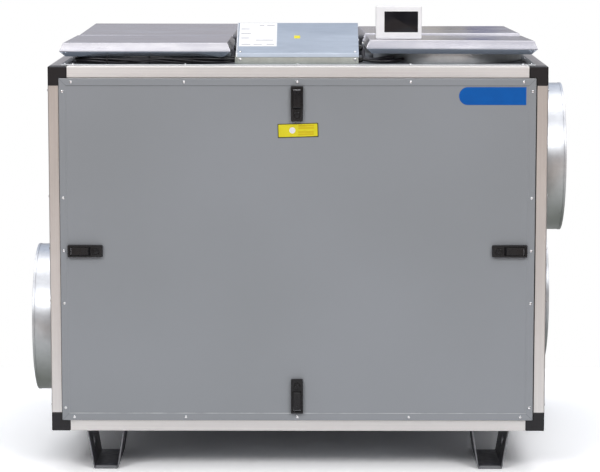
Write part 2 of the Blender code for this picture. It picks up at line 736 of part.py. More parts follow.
def latch(side, x, z, turn):
    """A latch whose outer end is at x, z on the front panel. In its own axes X runs from
    that end towards the panel's middle, Y across it and Z out of the panel."""
    place = bpy.data.objects.new(f"latch_{side}_place", None)
    PARTS.objects.link(place)
    place.location = (x, DOOR_FACE + SUNK - GAP, z)
    place.rotation_euler = turn
    half = LATCH_WIDTH / 2
    taper_from, taper = LATCH_TAPER
    shape = [(0, -half), (taper_from, -half), (LATCH_LENGTH, -half + taper / 2),
             (LATCH_LENGTH, half - taper / 2), (taper_from, half), (0, half)]
    housing = outline(f"latch_{side}", rounded(shape, LATCH_ROUND, 4), LATCH_HEIGHT / 2,
                      "black_plastic")
    housing.location = (0, 0, LATCH_HEIGHT / 2)
    housing = as_mesh(housing)
    bevel(housing, LATCH_EDGE, 2, 50)
    inside = POCKET_WIDTH / 2
    lever = lever_for(side, inside - LEVER_CLEARANCE)
    well_radius, well_depth = LOCK_WELL
    lock_foot = LATCH_HEIGHT - well_depth - LOCK_FOOT
    lock_top = LATCH_HEIGHT + LOCK_RISE
    key_width, key_length, key_depth = KEYWAY
    pocket = box(f"latch_{side}_pocket", (POCKET[0], -inside, POCKET_FLOOR),
                 (POCKET[1], inside, LATCH_HEIGHT * 2), cutter=True)
    well = round_bar(f"latch_{side}_well", well_radius, well_depth * 2, cutter=True, segments=24)
    well.location = (LOCK_X, 0, LATCH_HEIGHT)
    lock = round_bar(f"latch_{side}_lock", LOCK_RADIUS, lock_top - lock_foot, cutter=True,
                     segments=24)
    lock.location = (LOCK_X, 0, (lock_top + lock_foot) / 2)
    keyway = box(f"latch_{side}_keyway",
                 (LOCK_X - key_length / 2, -key_width / 2, lock_top - key_depth),
                 (LOCK_X + key_length / 2, key_width / 2, lock_top + key_depth), cutter=True)
    for operation, tool in (("DIFFERENCE", pocket), ("DIFFERENCE", well), ("UNION", lock),
                            ("DIFFERENCE", keyway)):
        boolean(housing, operation, tool)
    for obj in (housing, pocket, well, lock, keyway, lever):
        obj.parent = place


def lever_for(side, half_width):
    """The lever, drawn from the side around its pivot, with a finger edge at its free end."""
    px, pz = PIVOT
    rise = LEVER_TOP - pz
    end = LEVER_END - px
    back, down = FINGER_EDGE
    shape = arc((0, 0), PIVOT_RADIUS, 270, 120, 6) + [
        (PIVOT_RADIUS / 2, rise), (end - back, rise), (end, rise - down), (end, 0.0),
        (end - LEVER_HEEL, -PIVOT_RADIUS)]
    lever = outline(f"lever_{side}", shape, half_width, "black_plastic")
    lever.rotation_euler = (math.pi / 2, 0, 0)
    lever.location = (px, 0, pz)
    return lever


def latches():
    top = TOP - MARGIN - BORDER - LATCH_INSET
    bottom = BOTTOM + MARGIN + BORDER + LATCH_INSET
    side = WIDTH / 2 - MARGIN - BORDER - LATCH_INSET
    out = Vector((0, -1, 0))
    ends = {
        "top": ((LATCH_X, top), (0, 0, -1)),
        "bottom": ((LATCH_X, bottom), (0, 0, 1)),
        "left": ((-side + DOOR_SHIFT, MIDDLE_Z), (1, 0, 0)),
        "right": ((side + DOOR_SHIFT, MIDDLE_Z), (-1, 0, 0)),
    }
    for name, ((x, z), along) in ends.items():
        along = Vector(along)
        latch(name, x, z, turned_to(along, out.cross(along), out))


frame()
panels()
collars()
lids()
control_box()
cables()
touch_panel()
feet()
latches()
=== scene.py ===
# %% [markdown]
# # An air handling unit
#
# An air handling unit moves, filters and warms the air of a building. This one is an insulated
# casing on four feet, with round duct collars, loose lids, a control box and a touch panel. The
# CAD model has each main form at its real size. This lesson gives it finishes, screws, folded
# sheet, cables, latches and a plain studio.

import math
import random

import bmesh
import bpy
from mathutils import Matrix, Vector


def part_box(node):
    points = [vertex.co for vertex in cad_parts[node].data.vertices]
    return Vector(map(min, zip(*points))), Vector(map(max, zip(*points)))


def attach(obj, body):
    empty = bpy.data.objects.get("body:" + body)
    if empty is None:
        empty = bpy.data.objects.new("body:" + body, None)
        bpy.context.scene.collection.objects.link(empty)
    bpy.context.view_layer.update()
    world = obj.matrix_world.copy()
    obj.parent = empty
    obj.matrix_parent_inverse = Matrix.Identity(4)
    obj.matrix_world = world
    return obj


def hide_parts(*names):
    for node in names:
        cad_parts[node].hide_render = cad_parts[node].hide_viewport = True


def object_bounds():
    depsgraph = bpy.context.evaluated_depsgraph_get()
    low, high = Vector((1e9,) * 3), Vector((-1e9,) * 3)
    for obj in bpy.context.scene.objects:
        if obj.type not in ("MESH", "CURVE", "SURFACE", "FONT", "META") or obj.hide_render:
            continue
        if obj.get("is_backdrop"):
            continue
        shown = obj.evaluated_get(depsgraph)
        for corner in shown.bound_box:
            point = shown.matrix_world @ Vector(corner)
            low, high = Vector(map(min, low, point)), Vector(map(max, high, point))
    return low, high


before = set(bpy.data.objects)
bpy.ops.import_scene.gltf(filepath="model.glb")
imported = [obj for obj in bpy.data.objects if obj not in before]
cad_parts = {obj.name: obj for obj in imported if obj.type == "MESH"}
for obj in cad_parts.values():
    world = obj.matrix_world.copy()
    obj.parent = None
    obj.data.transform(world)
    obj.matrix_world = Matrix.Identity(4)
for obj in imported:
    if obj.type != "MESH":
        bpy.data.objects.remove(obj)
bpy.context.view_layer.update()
scene = bpy.context.scene
MM = 0.001

# %% [markdown]
# ## Planes to measure from
#
# Each later piece is placed from the casing's outer faces, so they are read from the CAD frame
# once. `at` gives a place on the top in the way it would be measured there with a rule: across
# from the middle, back from the front edge, and up from the top face.

# %% Planes of the casing
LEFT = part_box("rail_bottom_left")[0].x
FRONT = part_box("rail_bottom_front")[0].y
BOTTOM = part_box("rail_bottom_front")[0].z
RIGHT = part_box("rail_top_right")[1].x
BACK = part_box("rail_top_back")[1].y
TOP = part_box("rail_top_front")[1].z
MIDDLE = Vector(((LEFT + RIGHT) / 2, (FRONT + BACK) / 2, (BOTTOM + TOP) / 2))
DOOR_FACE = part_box("front_panel")[0].y
# The field of a panel lies this much lower than its border
SUNK = 1.2 * MM


def at(x, back, up):
    """A world place from millimetres across, back from the front and up from the top."""
    return Vector((x * MM, FRONT + back * MM, TOP + up * MM))


print("casing in mm:", round((RIGHT - LEFT) / MM), round((BACK - FRONT) / MM),
      round((TOP - BOTTOM) / MM))

# %% [markdown]
# ## Camera
#
# A long lens from almost seven metres keeps the front nearly square, as in a catalogue picture.
# The lens sits higher than the unit and looks down on it by seven and a half degrees, which is
# what opens the view onto the lids.

# %% Camera
# Metres across from the middle, in front of the casing and above its top, then radians
ACROSS, AHEAD, ABOVE = 0.0394, 6.7849, 0.4543
PITCH, YAW = 0.1320, -0.0050
camera = bpy.data.objects.new("camera", bpy.data.cameras.new("camera"))
scene.collection.objects.link(camera)
camera.data.sensor_width = 36.0
camera.data.lens = 155.83
camera.data.clip_end = 200.0
camera.location = (ACROSS, FRONT - AHEAD, TOP + ABOVE)
looking = Vector((math.sin(YAW) * math.cos(PITCH), math.cos(YAW) * math.cos(PITCH),
                  -math.sin(PITCH)))
camera.rotation_euler = looking.to_track_quat("-Z", "Y").to_euler()
scene.camera = camera
print("camera height in m:", round(camera.location.z, 3))

# %% [markdown]
# ## Finishes: colour and nodes
#
# Colours are written as the hex codes that a picture editor shows. Cycles works in linear light,
# so one function turns them. One more adds a node, fills in its settings and inputs, and hands
# back the output that the next node needs. `dress` gives a finish to a node of the CAD model.

# %% Colour and nodes


def linear(code):
    """The linear colour of an sRGB hex code."""
    parts = [int(code[i:i + 2], 16) / 255 for i in (1, 3, 5)]
    return (*(v / 12.92 if v <= 0.04045 else ((v + 0.055) / 1.055) ** 2.4 for v in parts), 1.0)


def add_node(tree, kind, inputs=None, output=0, **settings):
    """Adds a shader node, sets or links its inputs and returns one of its outputs."""
    made = tree.nodes.new("ShaderNode" + kind)
    for name, value in settings.items():
        setattr(made, name, value)
    for name, value in (inputs or {}).items():
        if isinstance(value, bpy.types.NodeSocket):
            tree.links.new(value, made.inputs[name])
        else:
            made.inputs[name].default_value = value
    return made.outputs[output]


def new_finish(name, colour, roughness, metallic=0.0, **sockets):
    """A material with plain values on its Principled shader; returns it, its tree and shader."""
    made = bpy.data.materials.new(name)
    made.use_nodes = True
    shader = made.node_tree.nodes["Principled BSDF"]
    shader.inputs["Base Color"].default_value = linear(colour)
    shader.inputs["Roughness"].default_value = roughness
    shader.inputs["Metallic"].default_value = metallic
    for socket, value in sockets.items():
        shader.inputs[socket.replace("_", " ")].default_value = value
    return made, made.node_tree, shader


def dress(name, finish):
    """Gives a node of the CAD model its finish."""
    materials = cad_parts[name].data.materials
    materials.clear()
    materials.append(finish)


print("mid grey in linear light:", round(linear("#808080")[0], 3))

# %% [markdown]
# ## Finishes: patterns with real sizes
#
# Metal and plastic are never one flat tone. `grain` makes noise whose features have a size in
# millimetres, drawn out along an axis where a rolling mill or a die has left lines. `tones`,
# `sheen` and `relief` let that noise change the colour, the roughness or the surface.

# %% Patterns


def grain(tree, size, stretch=(1, 1, 1), detail=2.0):
    """Noise with features of a size in mm, longer along each axis by its stretch."""
    place = add_node(tree, "TexCoord", output="Object")
    scale = [1 / (size * MM * s) for s in stretch]
    place = add_node(tree, "VectorMath", {0: place, 1: scale}, operation="MULTIPLY")
    return add_node(tree, "TexNoise", {"Vector": place, "Scale": 1.0, "Detail": detail}, "Fac")


def tones(tree, shader, pattern, first, second):
    """Colours the surface between two hex colours by a pattern from 0.3 to 0.7."""
    share = add_node(tree, "MapRange", {"Value": pattern, "From Min": 0.3, "From Max": 0.7})
    mixed = add_node(tree, "Mix", {0: share, 6: linear(first), 7: linear(second)}, 2,
                     data_type="RGBA")
    tree.links.new(mixed, shader.inputs["Base Color"])
    return mixed


def sheen(tree, shader, pattern, low, high):
    """Lets the roughness wander between two values with a pattern."""
    share = add_node(tree, "MapRange", {"Value": pattern, "From Min": 0.3, "From Max": 0.7,
                                        "To Min": low, "To Max": high})
    tree.links.new(share, shader.inputs["Roughness"])


def relief(tree, shader, pattern, height):
    """Raises the surface by up to a height in mm where the pattern is high."""
    bump = add_node(tree, "Bump", {"Height": pattern, "Strength": 1.0, "Distance": height * MM},
                    "Normal")
    tree.links.new(bump, shader.inputs["Normal"])


print("pattern helpers ready")

# %% [markdown]
# ## Coated steel for the panels
#
# The panels are steel sheet with a coil-coated polyester paint: an even grey, a faint orange
# peel and a broad soft shine. Each panel is edged with a frame of its own that is mitred at the
# corners like a picture frame, so the paint shows a hairline there. Its narrow edges are bright
# cut metal. The side that faces the inside of the casing is bare galvanised sheet, seen through
# the duct collars. Each of these is a share from 0 to 1, worked out from where a point lies or
# which way it faces, and the finish mixes its colours by them.

# %% Mitres, edges and the bare inside
BORDER = 18.5 * MM
MITRE_CORE, MITRE_FADE, MITRE_STRENGTH = 0.4 * MM, 1.0 * MM, 0.55
WALLS = 20 * MM
EDGE_FACING = 0.75


def mitre_line(tree, centre, across, up, half_width, half_height):
    """The share of the hairline that crosses the border at each corner of a panel."""
    place = add_node(tree, "TexCoord", output="Object")
    place = add_node(tree, "VectorMath", {0: place, 1: centre}, operation="SUBTRACT")
    past = []
    for axis, half in ((across, half_width), (up, half_height)):
        along = add_node(tree, "VectorMath", {0: place, 1: axis}, "Value",
                         operation="DOT_PRODUCT")
        along = add_node(tree, "Math", {0: along}, operation="ABSOLUTE")
        past.append(add_node(tree, "Math", {0: along, 1: half}, operation="SUBTRACT"))
    off_mitre = add_node(tree, "Math", {0: past[0], 1: past[1]}, operation="SUBTRACT")
    off_mitre = add_node(tree, "Math", {0: off_mitre}, operation="ABSOLUTE")
    line = add_node(tree, "MapRange", {"Value": off_mitre, "From Min": MITRE_CORE,
                                       "From Max": MITRE_FADE, "To Min": MITRE_STRENGTH,
                                       "To Max": 0.0})
    outermost = add_node(tree, "Math", {0: past[0], 1: past[1]}, operation="MAXIMUM")
    in_border = add_node(tree, "Math", {0: outermost, 1: -BORDER}, operation="GREATER_THAN")
    return add_node(tree, "Math", {0: line, 1: in_border}, operation="MULTIPLY")


def inside_casing(tree):
    """1 where a surface lies within the casing's walls."""
    place = add_node(tree, "TexCoord", output="Object")
    place = add_node(tree, "VectorMath", {0: place, 1: MIDDLE}, operation="SUBTRACT")
    inner = [side / 2 - WALLS for side in (RIGHT - LEFT, BACK - FRONT, TOP - BOTTOM)]
    place = add_node(tree, "VectorMath", {0: place, 1: inner}, operation="DIVIDE")
    place = add_node(tree, "VectorMath", {0: place}, operation="ABSOLUTE")
    parts = add_node(tree, "SeparateXYZ", {0: place}).node.outputs
    reach = add_node(tree, "Math", {0: parts[0], 1: parts[1]}, operation="MAXIMUM")
    reach = add_node(tree, "Math", {0: reach, 1: parts[2]}, operation="MAXIMUM")
    return add_node(tree, "Math", {0: reach, 1: 1.0}, operation="LESS_THAN")


def sheet_edge(tree, across, up):
    """1 on the narrow edges of a panel, which don't face outwards."""
    out = tuple(1 - a - b for a, b in zip(across, up))
    facing = add_node(tree, "TexCoord", output="Normal")
    facing = add_node(tree, "VectorMath", {0: facing, 1: out}, "Value", operation="DOT_PRODUCT")
    facing = add_node(tree, "Math", {0: facing}, operation="ABSOLUTE")
    return add_node(tree, "Math", {0: facing, 1: EDGE_FACING}, operation="LESS_THAN")


print("border in mm:", round(BORDER / MM, 1))

# %% Coated steel
PANEL_TONES = ("#8a8d91", "#8e9196")
MITRE_GREY, CUT_EDGE, BARE_ZINC = "#4a4d52", "#dcdddf", "#a3a6a8"


def coated_steel(name, centre, across, up, half_width, half_height):
    """Grey coil-coated sheet for one panel, with its mitre lines and its bare inside."""
    made, tree, shader = new_finish(name, PANEL_TONES[0], 0.46, Specular_IOR_Level=0.35)
    colour = tones(tree, shader, grain(tree, 420, detail=1.0), *PANEL_TONES)
    line = mitre_line(tree, centre, across, up, half_width, half_height)
    edge, inside = sheet_edge(tree, across, up), inside_casing(tree)
    for share, code in ((line, MITRE_GREY), (edge, CUT_EDGE), (inside, BARE_ZINC)):
        colour = add_node(tree, "Mix", {0: share, 6: colour, 7: linear(code)}, 2,
                          data_type="RGBA")
    tree.links.new(colour, shader.inputs["Base Color"])
    metal = add_node(tree, "Math", {0: inside, 1: edge}, operation="MAXIMUM")
    tree.links.new(metal, shader.inputs["Metallic"])
    relief(tree, shader, grain(tree, 3.5), 0.010)
    return made


# The two axes along which each panel lies
AXES_OF = {"front": (0, 2), "back": (0, 2), "left": (1, 2), "right": (1, 2), "top": (0, 1),
           "bottom": (0, 1)}
DIRECTIONS = ((1, 0, 0), (0, 1, 0), (0, 0, 1))
for face, (across, up) in AXES_OF.items():
    low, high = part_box(f"{face}_panel")
    half = (high - low) / 2
    painted = coated_steel(f"coil_coated_steel_{face}", (low + high) / 2, DIRECTIONS[across],
                           DIRECTIONS[up], half[across], half[up])
    dress(f"{face}_panel", painted)
print("panels painted:", len(AXES_OF))

# %% [markdown]
# ## Anodised aluminium for the frame
#
# The rails and posts are extruded and then anodised. The die leaves faint lines along each bar,
# and the oxide layer dulls them to a satin. The noise is therefore hundreds of times longer along
# the bar than across it, and the shader's anisotropy spreads each highlight across the lines.
# Each direction that a bar can run has its own material.

# %% Anodised aluminium
DIE_LINE, LINE_LENGTH = 1.6, 400.0


def bar_axis(name):
    """The axis along which a bar of the frame runs."""
    low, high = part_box(name)
    return max(range(3), key=lambda axis: high[axis] - low[axis])


bars = [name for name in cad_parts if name.startswith(("rail_", "post_"))]
for number, direction in enumerate("xyz"):
    stretch = [1.0, 1.0, 1.0]
    stretch[number] = LINE_LENGTH
    made, tree, shader = new_finish(f"anodised_aluminium_{direction}", "#e5e1df", 0.36, 0.95,
                                    Anisotropic=0.85)
    round_it = add_node(tree, "Tangent", direction_type="RADIAL", axis=direction.upper())
    tree.links.new(round_it, shader.inputs["Tangent"])
    die_lines = grain(tree, DIE_LINE, stretch)
    tones(tree, shader, die_lines, "#e0dcdb", "#eae7e4")
    sheen(tree, shader, grain(tree, 90, stretch=[1 + s / 100 for s in stretch]), 0.32, 0.40)
    relief(tree, shader, die_lines, 0.004)
    for name in bars:
        if bar_axis(name) == number:
            dress(name, made)
print("bars:", len(bars))

# %% [markdown]
# ## Moulded plastic and rubber
#
# The corner pieces and latches are moulded in glass-filled nylon: nearly black, with a fine
# spark-eroded texture that scatters the light. The gasket is closed-cell rubber, which is duller
# still. A bright steel strip on each lever's nose is a painted highlight, the light caught by the
# rounded nose. The grain is really a tenth of a millimetre and is drawn at about a millimetre,
# because finer than that a picture doesn't show it.

# %% Black nylon and rubber
corner_nylon, tree, shader = new_finish("moulded_black_nylon", "#131115", 0.30,
                                        Specular_IOR_Level=0.42)
tones(tree, shader, grain(tree, 30), "#121014", "#17151a")
relief(tree, shader, grain(tree, 1.0), 0.020)

latch_nylon, tree, shader = new_finish("satin_black_nylon", "#131214", 0.30,
                                       Specular_IOR_Level=0.35)
tones(tree, shader, grain(tree, 12), "#110f12", "#171618")
sheen(tree, shader, grain(tree, 5), 0.24, 0.38)
relief(tree, shader, grain(tree, 0.8), 0.006)

# A painted highlight: bright steel that stands for the light on each lever's rounded nose
highlight_strip_steel, tree, shader = new_finish("painted_highlight_strip", "#d0d0d4", 0.25, 0.9)
tones(tree, shader, grain(tree, 8), "#c8c8cc", "#d8d8dc")

gasket_rubber, tree, shader = new_finish("closed_cell_rubber", "#1b1b1c", 0.85)
tones(tree, shader, grain(tree, 4), "#171718", "#222223")
relief(tree, shader, grain(tree, 1.2), 0.080)

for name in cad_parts:
    if name.startswith("corner_"):
        dress(name, corner_nylon)
dress("door_gasket", gasket_rubber)
print("finishes: two nylons, a steel strip and rubber")

# %% [markdown]
# ## Zinc-coated sheet
#
# Galvanised sheet is bright and slightly blue. It has a soft frosted bloom, long faint rolling
# lines and low dents that bend what it reflects. The collars are the brightest. The lids are
# rolled smoother and mirror more, the cover of the control box has a blue passivated coat and
# the box below it a paler, duller one. Where a collar faces down, its zinc is darkened with
# painted shade; where a lid faces down, it has a bluer tone. Both are mixed in by the direction
# that the surface faces.

# %% Zinc-coated sheet
BLOOM, CLOUDS, DENTS = 14, 60, 110


def zinc_sheet(name, tone_pair, roughness, wave, stretch=(1, 1, 1), metallic=0.95,
               painted_shade_and_tint_below=None):
    """Galvanised sheet: two tones, a roughness, the height of its dents in mm, an underside."""
    made, tree, shader = new_finish(name, tone_pair[0], roughness, metallic)
    bloom = tones(tree, shader, grain(tree, BLOOM, stretch, detail=4.0), *tone_pair)
    # Faces that face down get another tone: painted shade on the collars, a bluer tint on the lids
    if painted_shade_and_tint_below:
        facing = add_node(tree, "TexCoord", output="Normal")
        down = add_node(tree, "SeparateXYZ", {0: facing}).node.outputs[2]
        down = add_node(tree, "MapRange", {"Value": down, "From Min": 0.35, "From Max": -0.75})
        bloom = add_node(tree, "Mix", {0: down, 6: bloom, 7: linear(painted_shade_and_tint_below)}, 2,
                         data_type="RGBA")
        tree.links.new(bloom, shader.inputs["Base Color"])
    sheen(tree, shader, grain(tree, CLOUDS, stretch), roughness - 0.05, roughness + 0.07)
    relief(tree, shader, grain(tree, DENTS, detail=1.0), wave)
    return made


# The collar's downward faces get painted shade, a darker grey-green
collar_zinc = zinc_sheet("galvanised_steel_collar", ("#cfd1d6", "#dbdde2"), 0.38, 0.15,
                         painted_shade_and_tint_below="#858983")
lid_zinc = zinc_sheet("galvanised_steel_lid", ("#cbc9d1", "#d5d3d9"), 0.20, 0.20, (3, 1, 1),
                      metallic=0.82, painted_shade_and_tint_below="#b2bdcc")
cover_zinc = zinc_sheet("passivated_zinc_cover", ("#a2aab6", "#abb3bf"), 0.36, 0.40, (4, 1, 1))
box_zinc = zinc_sheet("passivated_zinc_box", ("#c3c8c3", "#cdd2cc"), 0.42, 0.20)
screw_zinc = zinc_sheet("bright_zinc_plate", ("#e4e4e6", "#f0f0f2"), 0.24, 0.01)
dress("control_box", box_zinc)
print("zinc finishes: 5")

# %% [markdown]
# ## Coated steel for the feet
#
# Each foot is cut from sheet, bent and dipped in a dark coat. The coat is thin on the cut edges,
# which face the front and the back, so they shine through as narrow bright lines. The shader
# finds those edges by the direction that a surface faces.

# %% Dark coated steel
FACES_FRONT = 0.9
foot_coat, tree, shader = new_finish("dark_dipped_steel", "#4b4a51", 0.36, 0.35)
coat = tones(tree, shader, grain(tree, 25, detail=4.0), "#424148", "#54535a")
facing = add_node(tree, "TexCoord", output="Normal")
facing = add_node(tree, "SeparateXYZ", {0: facing}).node.outputs[1]
facing = add_node(tree, "Math", {0: facing}, operation="ABSOLUTE")
cut_edge = add_node(tree, "Math", {0: facing, 1: FACES_FRONT}, operation="GREATER_THAN")
worn = add_node(tree, "Mix", {0: cut_edge, 6: coat, 7: linear("#7b7c7f")}, 2, data_type="RGBA")
tree.links.new(worn, shader.inputs["Base Color"])
sheen(tree, shader, grain(tree, 18), 0.28, 0.44)
feet = [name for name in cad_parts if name.startswith("foot_")]
for name in feet:
    dress(name, foot_coat)
print("feet:", len(feet))

# %% [markdown]
# ## Plastics, vinyl and glass for the small pieces
#
# The touch panel is white ABS with a gloss, and its screen is coated glass. Stickers are
# printed vinyl film. Cables have a soft PVC jacket, and the conduit is ribbed polypropylene.

# %% Small finishes
white_abs, tree, shader = new_finish("gloss_white_abs", "#f1f1f3", 0.28)
tones(tree, shader, grain(tree, 40), "#ededf0", "#f4f4f6")
relief(tree, shader, grain(tree, 1.5), 0.004)

screen_glass, tree, shader = new_finish("coated_screen_glass", "#1b1a1e", 0.12,
                                        Specular_IOR_Level=0.25)
tones(tree, shader, grain(tree, 50), "#18171b", "#201f24")

pvc_jacket, tree, shader = new_finish("black_pvc_jacket", "#1c1b1e", 0.34)
tones(tree, shader, grain(tree, 20), "#17161a", "#252429")
relief(tree, shader, grain(tree, 2.0), 0.020)

conduit_plastic, tree, shader = new_finish("grey_polypropylene", "#6f6f76", 0.42)
tones(tree, shader, grain(tree, 15), "#66666d", "#7a7a82")

VINYLS = {"blue_vinyl": ("#0055a4", "#0059aa"), "yellow_vinyl": ("#d8cb24", "#ded22e"),
          "yellow_print": ("#ccb41a", "#d2ba20"), "white_vinyl": ("#e2e2e4", "#e8e8ea"),
          "dark_print": ("#3c3a20", "#45432a"), "faint_print": ("#a6a6ad", "#b0b0b6")}
vinyl = {}
for name, pair in VINYLS.items():
    vinyl[name], tree, shader = new_finish(name, pair[0], 0.38, Specular_IOR_Level=0.20)
    tones(tree, shader, grain(tree, 22), *pair)
    relief(tree, shader, grain(tree, 6.0), 0.010)
print("small finishes:", 4 + len(vinyl))

# %% [markdown]
# ## Mesh helpers
#
# Nearly all the small pieces are a skin stretched over rings of points: a slab with soft edges, a
# turned collar, a cable along its route. `skin` does that work, and the helpers after it only
# decide where the rings go.

# %% Skins over rings
CORNER_STEPS = 4


def skin(rings, closed=False):
    """A mesh stretched over rings with the same number of points, capped unless closed."""
    bm = bmesh.new()
    rows = [[bm.verts.new(place) for place in ring] for ring in rings]
    pairs = list(zip(rows, rows[1:])) + ([(rows[-1], rows[0])] if closed else [])
    for low, high in pairs:
        for i, j in zip(range(len(low)), [*range(1, len(low)), 0]):
            bm.faces.new((low[i], low[j], high[j], high[i]))
    if not closed:
        bm.faces.new(rows[0][::-1])
        bm.faces.new(rows[-1])
    bmesh.ops.recalc_face_normals(bm, faces=bm.faces)
    return bm


def circle(radius, count):
    """Points round a circle."""
    angles = [math.tau * i / count for i in range(count)]
    return [(radius * math.cos(a), radius * math.sin(a)) for a in angles]


def turned(profile, count, closed=False):
    """A form turned on a lathe from (radius, height) points, about Z."""
    return skin([[(x, y, z) for x, y in circle(r, count)] for r, z in profile], closed)


def rounded_rectangle(half_w, half_h, radius):
    """Points round a rectangle with rounded corners."""
    points = []
    for quarter, (sx, sy) in enumerate(((1, 1), (-1, 1), (-1, -1), (1, -1))):
        for i in range(CORNER_STEPS + 1):
            a = math.pi / 2 * (quarter + i / CORNER_STEPS)
            points.append((sx * (half_w - radius) + radius * math.cos(a),
                           sy * (half_h - radius) + radius * math.sin(a)))
    return points


def soft_slab(half_w, half_h, radius, thickness, edge, steps=3):
    """A slab from z = 0 up, with rounded corners and a rounded edge round its top."""
    rings = [[(x, y, 0.0) for x, y in rounded_rectangle(half_w, half_h, radius)]]
    for i in range(steps + 1):
        a = math.pi / 2 * i / steps
        inset = edge * (1 - math.cos(a))
        ring = rounded_rectangle(half_w - inset, half_h - inset, max(radius - inset, 1e-5))
        rings.append([(x, y, thickness - edge + edge * math.sin(a)) for x, y in ring])
    return skin(rings)


print("a soft slab has", len(soft_slab(1, 1, 0.1, 0.1, 0.05).faces), "faces")

# %% [markdown]
# ## Placing and joining
#
# A piece is modelled flat, about its own origin, and then turned so that its X and Z lie along
# two directions of the casing. `piece` turns the mesh into an object, rides it on a body of the
# frame and hides the CAD nodes that it takes the place of. Its faces are smooth except where
# they meet at a sharp angle.

# %% Placing, joining and handing over
SHARP, SOFTENED = math.radians(30), math.radians(40)


def placed(bm, origin, x_axis, z_axis):
    """Lays a mesh at origin with its own X and Z along two directions."""
    x, z = Vector(x_axis).normalized(), Vector(z_axis).normalized()
    matrix = Matrix((x, z.cross(x), z)).transposed().to_4x4()
    matrix.translation = Vector(origin)
    bm.transform(matrix)
    return bm


def joined(parts):
    """Several meshes in one."""
    whole = bmesh.new()
    for part in parts:
        mesh = bpy.data.meshes.new("part")
        part.to_mesh(mesh)
        part.free()
        whole.from_mesh(mesh)
        bpy.data.meshes.remove(mesh)
    return whole


def as_object(name, bm):
    """A mesh as an object of the scene."""
    mesh = bpy.data.meshes.new(name)
    bm.to_mesh(mesh)
    bm.free()
    made = bpy.data.objects.new(name, mesh)
    scene.collection.objects.link(made)
    return made


def piece(name, bm, finish, body="unit", replaces=()):
    """A finished piece: smooth but for its sharp edges, riding on a body."""
    made = as_object(name, bm)
    made.data.materials.append(finish)
    made.data.shade_smooth()
    made.data.set_sharp_from_angle(angle=SHARP)
    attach(made, body)
    if replaces:
        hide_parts(*replaces)
    return made


def soften(made, width):
    """Rounds a piece's sharp edges by a width in mm."""
    bevel = made.modifiers.new("softened_edges", "BEVEL")
    bevel.width = width * MM
    bevel.segments = 2
    bevel.limit_method = "ANGLE"
    bevel.angle_limit = SOFTENED
    bevel.harden_normals = True
    return made


print("a mesh counts as sharp from", round(math.degrees(SHARP)), "degrees")

# %% [markdown]
# ## Screws round the panels
#
# Small pan-head screws with a cross recess hold each panel's border. The head is turned, and its
# recess is a ring whose radius swings in and out four times before it goes down. Each screw is
# turned to its own angle, as real ones are when they have been driven.

# %% One screw
# The radius and height of each ring of the head, then how the recess swings, all in mm
HEAD = ((3.9, 0.0), (3.9, 0.7), (3.7, 1.3), (3.2, 1.8), (2.5, 2.1))
RECESS = [1.9, 1.0, 0.62, 0.55, 0.62, 1.0] * 4
RECESS_RINGS = ((1.0, 2.2), (0.8, 1.2))


def screw_head():
    """A pan head that stands on z = 0."""
    count = len(RECESS)
    rings = [[(x, y, z * MM) for x, y in circle(r * MM, count)] for r, z in HEAD]
    for share, z in RECESS_RINGS:
        rings.append([(r * MM * share * math.cos(math.tau * i / count),
                       r * MM * share * math.sin(math.tau * i / count), z * MM)
                      for i, r in enumerate(RECESS)])
    return skin(rings)


turns = random.Random(4)


def driven(place, out, height=1.0):
    """A screw head at a place, facing out, turned at random and as high as its share says."""
    out = Vector(out)
    first = out.orthogonal().normalized()
    angle = turns.uniform(0, math.pi / 2)
    across = first * math.cos(angle) + out.cross(first) * math.sin(angle)
    head = screw_head()
    head.transform(Matrix.Diagonal((1, 1, height, 1)))
    return placed(head, place, across, out)


print("screw head:", len(screw_head().verts), "points")

# %% [markdown]
# ## Where the screws sit
#
# Five screws hold each side of a panel's border, and their spacing follows the panel. On the
# back they have low heads and sit in the sunk field, so that nothing there stands proud.

# %% Screws of each panel
COLUMN = (-420.5 * MM, -140 * MM, 0.0, 140 * MM, 420.5 * MM)
ROW = (-592 * MM, -296 * MM, 0.0, 296 * MM, 592 * MM)
DEEP_ROW = (-452 * MM, -226 * MM, 0.0, 226 * MM, 452 * MM)
BACK_ROW, BACK_COLUMN = [[0.96 * place for place in line] for line in (ROW, COLUMN)]
SPACINGS = {"front": (ROW, COLUMN), "back": (BACK_ROW, BACK_COLUMN), "left": (DEEP_ROW, COLUMN),
            "right": (DEEP_ROW, COLUMN), "top": (ROW, DEEP_ROW)}
OUT_OF = {"front": (0, -1, 0), "back": (0, 1, 0), "left": (-1, 0, 0), "right": (1, 0, 0),
          "top": (0, 0, 1)}
LOW_HEAD, IN_FIELD = 0.5, BORDER + 6 * MM
for face, out in OUT_OF.items():
    across, up = AXES_OF[face]
    facing = 3 - across - up
    low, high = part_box(f"{face}_panel")
    centre = (low + high) / 2
    centre[facing] = (high if sum(out) > 0 else low)[facing]
    edge, height = BORDER / 2, 1.0
    if face == "back":
        edge, height = IN_FIELD, LOW_HEAD
        centre[facing] -= SUNK
    half = (high - low) / 2
    heads = []
    for along, sideways, offsets in ((across, up, SPACINGS[face][0]),
                                     (up, across, SPACINGS[face][1])):
        for side in (-1, 1):
            for offset in offsets:
                spot = centre.copy()
                spot[along] += offset
                spot[sideways] += side * (half[sideways] - edge)
                heads.append(driven(spot, out, height))
    piece(f"screws_{face}", joined(heads), screw_zinc)
    print(face, "panel:", len(heads), "screws")

# %% [markdown]
# ## Edges of the front panel
#
# A soft rubber lip shows round the front panel, twice as wide on the right. Where the panel's
# border steps down to its field, each fold gets a narrow strip of its own paint: a painted
# highlight on the lower fold and painted shade on the upper one.

# %% Edges of the front panel
FIELD = DOOR_FACE + SUNK
